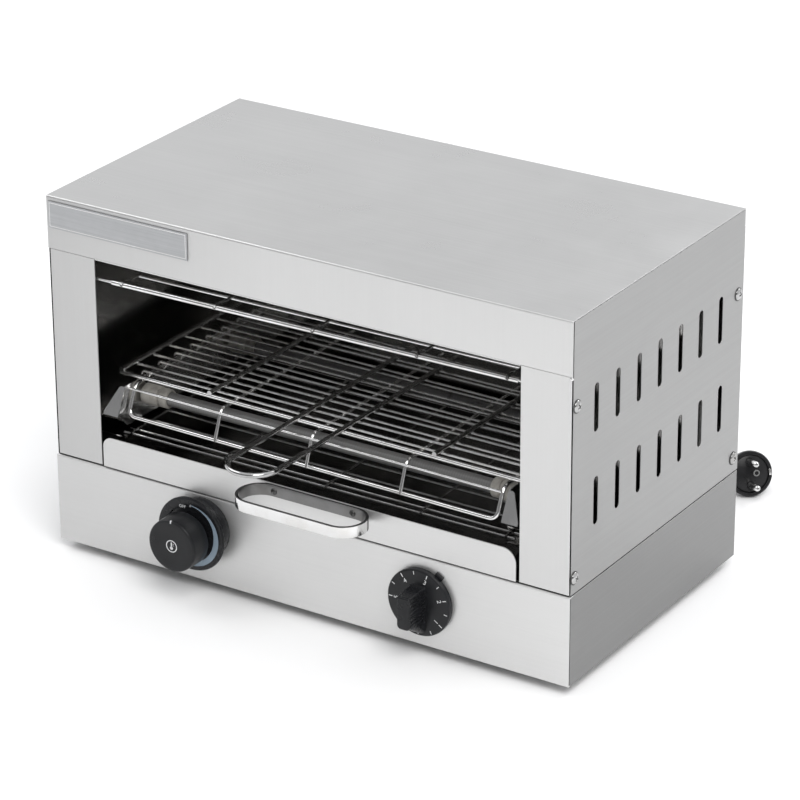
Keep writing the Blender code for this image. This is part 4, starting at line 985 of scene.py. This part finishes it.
cap = turned(
    "thermostat_cap",
    [(0, 23.25), (8.0, 23.25), (14.0, 23.3), (18.9, 23.7), (19.8, 23.55), (20.4, 23.1), (20.7, 22.4), (20.8, 21.0), (20.9, 17.0), (21.0, 6.4), (20.8, 5.8), (20.2, 5.5), (16.0, 5.5), (16.0, 0.1), (3.0, 0.0), (3.0, -22.8), (0, -22.8)],
    80,
    BLACK_FACE,
    frontwards(THERMO_X, -13.1, THERMO_Z),
)
index_line = local_block("cap_index", (-0.45, 18.6, 22.6), (0.45, 21.0, 23.8), INK, frontwards(THERMO_X, -13.1, THERMO_Z), 0.1)
icon = []
for i in range(36):
    a0, a1 = 2 * math.pi * i / 36, 2 * math.pi * (i + 1) / 36
    icon.append([(4.9 * math.cos(a0), 4.9 * math.sin(a0)), (4.2 * math.cos(a0), 4.2 * math.sin(a0)), (4.2 * math.cos(a1), 4.2 * math.sin(a1)), (4.9 * math.cos(a1), 4.9 * math.sin(a1))])
bulb = [(1.35 * math.cos(2 * math.pi * i / 20) - 0.1, 1.35 * math.sin(2 * math.pi * i / 20) - 1.5) for i in range(20)]
icon.append(bulb)
icon.append([(-0.65, -1.0), (0.45, -1.0), (0.45, 2.9), (0.1, 3.2), (-0.3, 3.2), (-0.65, 2.9)])
icon.append([(1.1, 1.9), (2.0, 1.9), (2.0, 2.3), (1.1, 2.3)])
icon.append([(1.1, 0.6), (2.0, 0.6), (2.0, 1.0), (1.1, 1.0)])
icon_mesh = flat_print("cap_icon", icon, -36.3, 0.12, INK, THERMO_X, THERMO_Z)
put(join("thermostat_cap_printed", [cap, index_line, icon_mesh]), "thermostat_control", "thermostat_knob", slot="black_plastic")

# ---------------------------------------------------------------- timer knob
ring = turned("timer_backplate", [(6.0, 1.6), (25.2, 1.6), (25.7, 1.2), (25.8, 0.2), (25.4, 0.0), (6.0, 0.0), (6.0, 1.6)], 64, BLACK, frontwards(TIMER_X, -0.8, TIMER_Z))
lugs = []
for index, angle in enumerate((57.0, 237.0)):
    m = frontwards(TIMER_X, -0.8, TIMER_Z) @ Matrix.Rotation(math.radians(angle), 4, "Z")
    lugs.append(local_block(f"timer_lug_{index}", (21.0, -3.4, 0.1), (29.4, 3.4, 1.5), BLACK, m, 0.4))
put(join("timer_backplate_lugged", [ring] + lugs), "oven", "timer_ring", slot="black_plastic")

disc = turned(
    "timer_dial",
    [(0, 3.8), (24.9, 3.8), (25.8, 3.55), (26.3, 3.0), (26.4, 2.2), (26.3, 0.3), (25.9, 0.0), (3.0, 0.0), (3.0, -12.5), (0, -12.5)],
    80,
    BLACK_FACE,
    frontwards(TIMER_X, -2.7, TIMER_Z),
)


def section(hw, top, bottom, r_top, r_bottom, n=6):
    pts = []
    pts += arc(hw - r_top, top - r_top, r_top, 0, 90, n)
    pts += arc(-hw + r_top, top - r_top, r_top, 90, 180, n)
    pts += arc(-hw + r_bottom, bottom + r_bottom, r_bottom, 180, 270, n)
    pts += arc(hw - r_bottom, bottom + r_bottom, r_bottom, 270, 360, n)
    return pts


stations = [
    (-6.2, 6.8, 14.6, -24.4, 1.6, 5.2),
    (-7.4, 6.5, 14.0, -23.6, 1.5, 5.0),
    (-10.5, 6.2, 13.7, -21.8, 1.5, 4.6),
    (-15.0, 5.9, 13.5, -18.6, 1.4, 4.2),
    (-20.0, 5.6, 13.3, -15.4, 1.4, 3.8),
    (-24.5, 5.4, 13.1, -13.6, 1.3, 3.4),
    (-26.2, 5.3, 12.9, -13.1, 1.3, 3.2),
    (-26.85, 4.9, 12.4, -12.6, 1.2, 3.0),
    (-27.0, 4.2, 11.7, -11.9, 1.0, 2.6),
]
bm = bmesh.new()
rings_ = []
for y, hw, top, bottom, rt, rb in stations:
    rings_.append([bm.verts.new(V(TIMER_X + x, y, TIMER_Z + z)) for x, z in section(hw, top, bottom, rt, rb)])
for a, b in zip(rings_, rings_[1:]):
    n = len(a)
    for i in range(n):
        bm.faces.new((a[i], a[(i + 1) % n], b[(i + 1) % n], b[i]))
bm.faces.new(rings_[-1])
bm.faces.new(rings_[0][::-1])
bmesh.ops.recalc_face_normals(bm, faces=bm.faces)
grip = from_bm("timer_grip_body", bm, BLACK, 40)
rib_bits = []
for side_ in (-1, 1):
    for k in range(8):
        z = 10.4 - 2.9 * k
        y_front = -25.6 if k > 0 else -25.2
        y_back = -8.6
        hw_f, hw_b = 5.35, 6.4
        bm = bmesh.new()
        bmesh.ops.create_cube(bm, size=1.0)
        for v in bm.verts:
            fr = v.co.y < 0
            hw = hw_f if fr else hw_b
            out_ = (v.co.x > 0) == (side_ > 0)
            v.co.x = side_ * (hw + (0.38 if out_ else -0.6)) / 1000
            v.co.z = (z + (0.75 if v.co.z > 0 else -0.75)) / 1000
            v.co.y = (y_front if fr else y_back) / 1000
        bmesh.ops.bevel(bm, geom=list(bm.edges), offset=0.0003, segments=2, affect="EDGES", profile=0.6)
        bmesh.ops.recalc_face_normals(bm, faces=bm.faces)
        base_at = V(TIMER_X, 0, TIMER_Z)
        bm.transform(Matrix.Translation(base_at))
        rib_bits.append(from_bm(f"grip_rib_{side_}_{k}", bm, BLACK, 30))
marks = []
for k in range(11):
    angle = 270.0 + 27.0 * k
    whole = k % 2 == 0
    marks.append(tick(angle, 21.9 if whole else 22.3, 25.0, 0.62 if whole else 0.5))
mark_mesh = flat_print("timer_marks", marks, -6.48, 0.1, INK, TIMER_X, TIMER_Z)
numbers = []
for k in range(6):
    angle = 270.0 + 54.0 * k
    a = math.radians(angle)
    r = 18.6
    place = frontwards(TIMER_X + r * math.cos(a), -6.5, TIMER_Z + r * math.sin(a)) @ Matrix.Rotation(math.radians(angle - 90.0), 4, "Z")
    numbers.append(text_mesh(f"timer_number_{k}", str(k), 5.2, place, INK))
put(join("timer_knob_printed", [disc, grip] + rib_bits + [mark_mesh] + numbers), "timer_control", "timer_knob", slot="black_plastic")

# ---------------------------------------------------------------- feet
for index, name in enumerate(("foot_front_left", "foot_front_right", "foot_rear_left", "foot_rear_right")):
    lo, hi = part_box(name)
    centre = (lo + hi) / 2
    m = Matrix.Translation(Vector((centre.x, centre.y, lo.z)))
    foot = turned(f"rubber_{name}", [(0, 7.8), (10.4, 7.8), (11.0, 7.2), (11.0, 6.0), (10.6, 5.2), (9.8, 1.6), (9.4, 0.6), (8.7, 0.0), (3.4, 0.0), (3.2, 0.6), (3.0, 2.6), (0, 2.8)], 36, FOOT_RUBBER, m)
    put(foot, "oven", name, slot="rubber")

# ---------------------------------------------------------------- nodes that keep their shape
keep = {
    "base_bottom_plate": STEEL_BACK,
    "chamber_floor": FLOOR_SHEET,
    "liner_left": LINER,
    "liner_right": LINER,
    "liner_back": LINER,
    "top_reflector": LINER,
    "thermostat_body": ZINC,
    "timer_body": ZINC,
}
for name, mat in keep.items():
    obj = nodes[name]
    for slot_ in obj.material_slots:
        slot_.material = mat
    if not obj.material_slots:
        obj.data.materials.append(mat)

# ---------------------------------------------------------------- floor, light
floor_mat, tree, shader = new_material("studio_floor", (0.91, 0.91, 0.912), 0.7, 0.0, 0.2)
cloud = noise(tree, coords(tree, (1, 1, 1)), 1.5, 2.0, 0.5)
tree.links.new(ramp(tree, cloud, ((0.3, (0.90, 0.90, 0.904)), (0.7, (0.92, 0.92, 0.922)))), shader.inputs["Base Color"])
bpy.ops.mesh.primitive_plane_add(size=14.0, location=(0, 0, 0))
floor = bpy.context.object
floor.name = "studio_floor"
floor.data.materials.append(floor_mat)

world = bpy.data.worlds.new("studio_world")
bpy.context.scene.world = world
world.use_nodes = True
world.node_tree.nodes["Background"].inputs["Color"].default_value = (0.985, 0.99, 1.0, 1)


def world_range(value, a, b, lo, hi):
    node = world.node_tree.nodes.new("ShaderNodeMapRange")
    node.interpolation_type = "SMOOTHSTEP"
    for key, number in (("From Min", a), ("From Max", b), ("To Min", lo), ("To Max", hi)):
        node.inputs[key].default_value = number
    world.node_tree.links.new(value, node.inputs["Value"])
    return node.outputs["Result"]


# The unlit end of the studio: darker low down in front of the toaster, bright overhead and behind.
sky = world.node_tree.nodes.new("ShaderNodeTexCoord")
parts = world.node_tree.nodes.new("ShaderNodeSeparateXYZ")
world.node_tree.links.new(sky.outputs["Generated"], parts.inputs["Vector"])
low = world_range(parts.outputs["Z"], 0.40, 0.86, 1.0, 0.0)
ahead = world_range(parts.outputs["Y"], -0.45, 0.10, 1.0, 0.0)
dim = world.node_tree.nodes.new("ShaderNodeMath")
dim.operation = "MULTIPLY"
world.node_tree.links.new(low, dim.inputs[0])
world.node_tree.links.new(ahead, dim.inputs[1])
world.node_tree.links.new(world_range(dim.outputs["Value"], 0.0, 1.0, 0.90, 0.22), world.node_tree.nodes["Background"].inputs["Strength"])


def area(name, place, target, size, power, colour=(1, 1, 1)):
    data = bpy.data.lights.new(name, "AREA")
    data.shape = "RECTANGLE"
    data.size, data.size_y = size
    data.energy = power
    data.color = colour
    obj = bpy.data.objects.new(name, data)
    bpy.context.scene.collection.objects.link(obj)
    obj.location = place
    obj.rotation_mode = "QUATERNION"
    obj.rotation_quaternion = (Vector(target) - Vector(place)).to_track_quat("-Z", "Y")
    return obj


area("key_softbox", (1.5, -1.4, 2.3), (0, 0, 0.1), (1.6, 1.6), 50.0, (1.0, 0.995, 0.985))
area("fill_softbox", (-2.3, -0.3, 2.4), (0, 0, 0.1), (1.8, 1.8), 24.0, (0.99, 0.995, 1.0))
area("rim_softbox", (0.8, 2.4, 2.1), (0, 0, 0.2), (1.6, 1.0), 24.0, (0.99, 0.99, 1.0))

bpy.context.scene.view_settings.view_transform = "Standard"
bpy.context.scene.view_settings.look = "None"
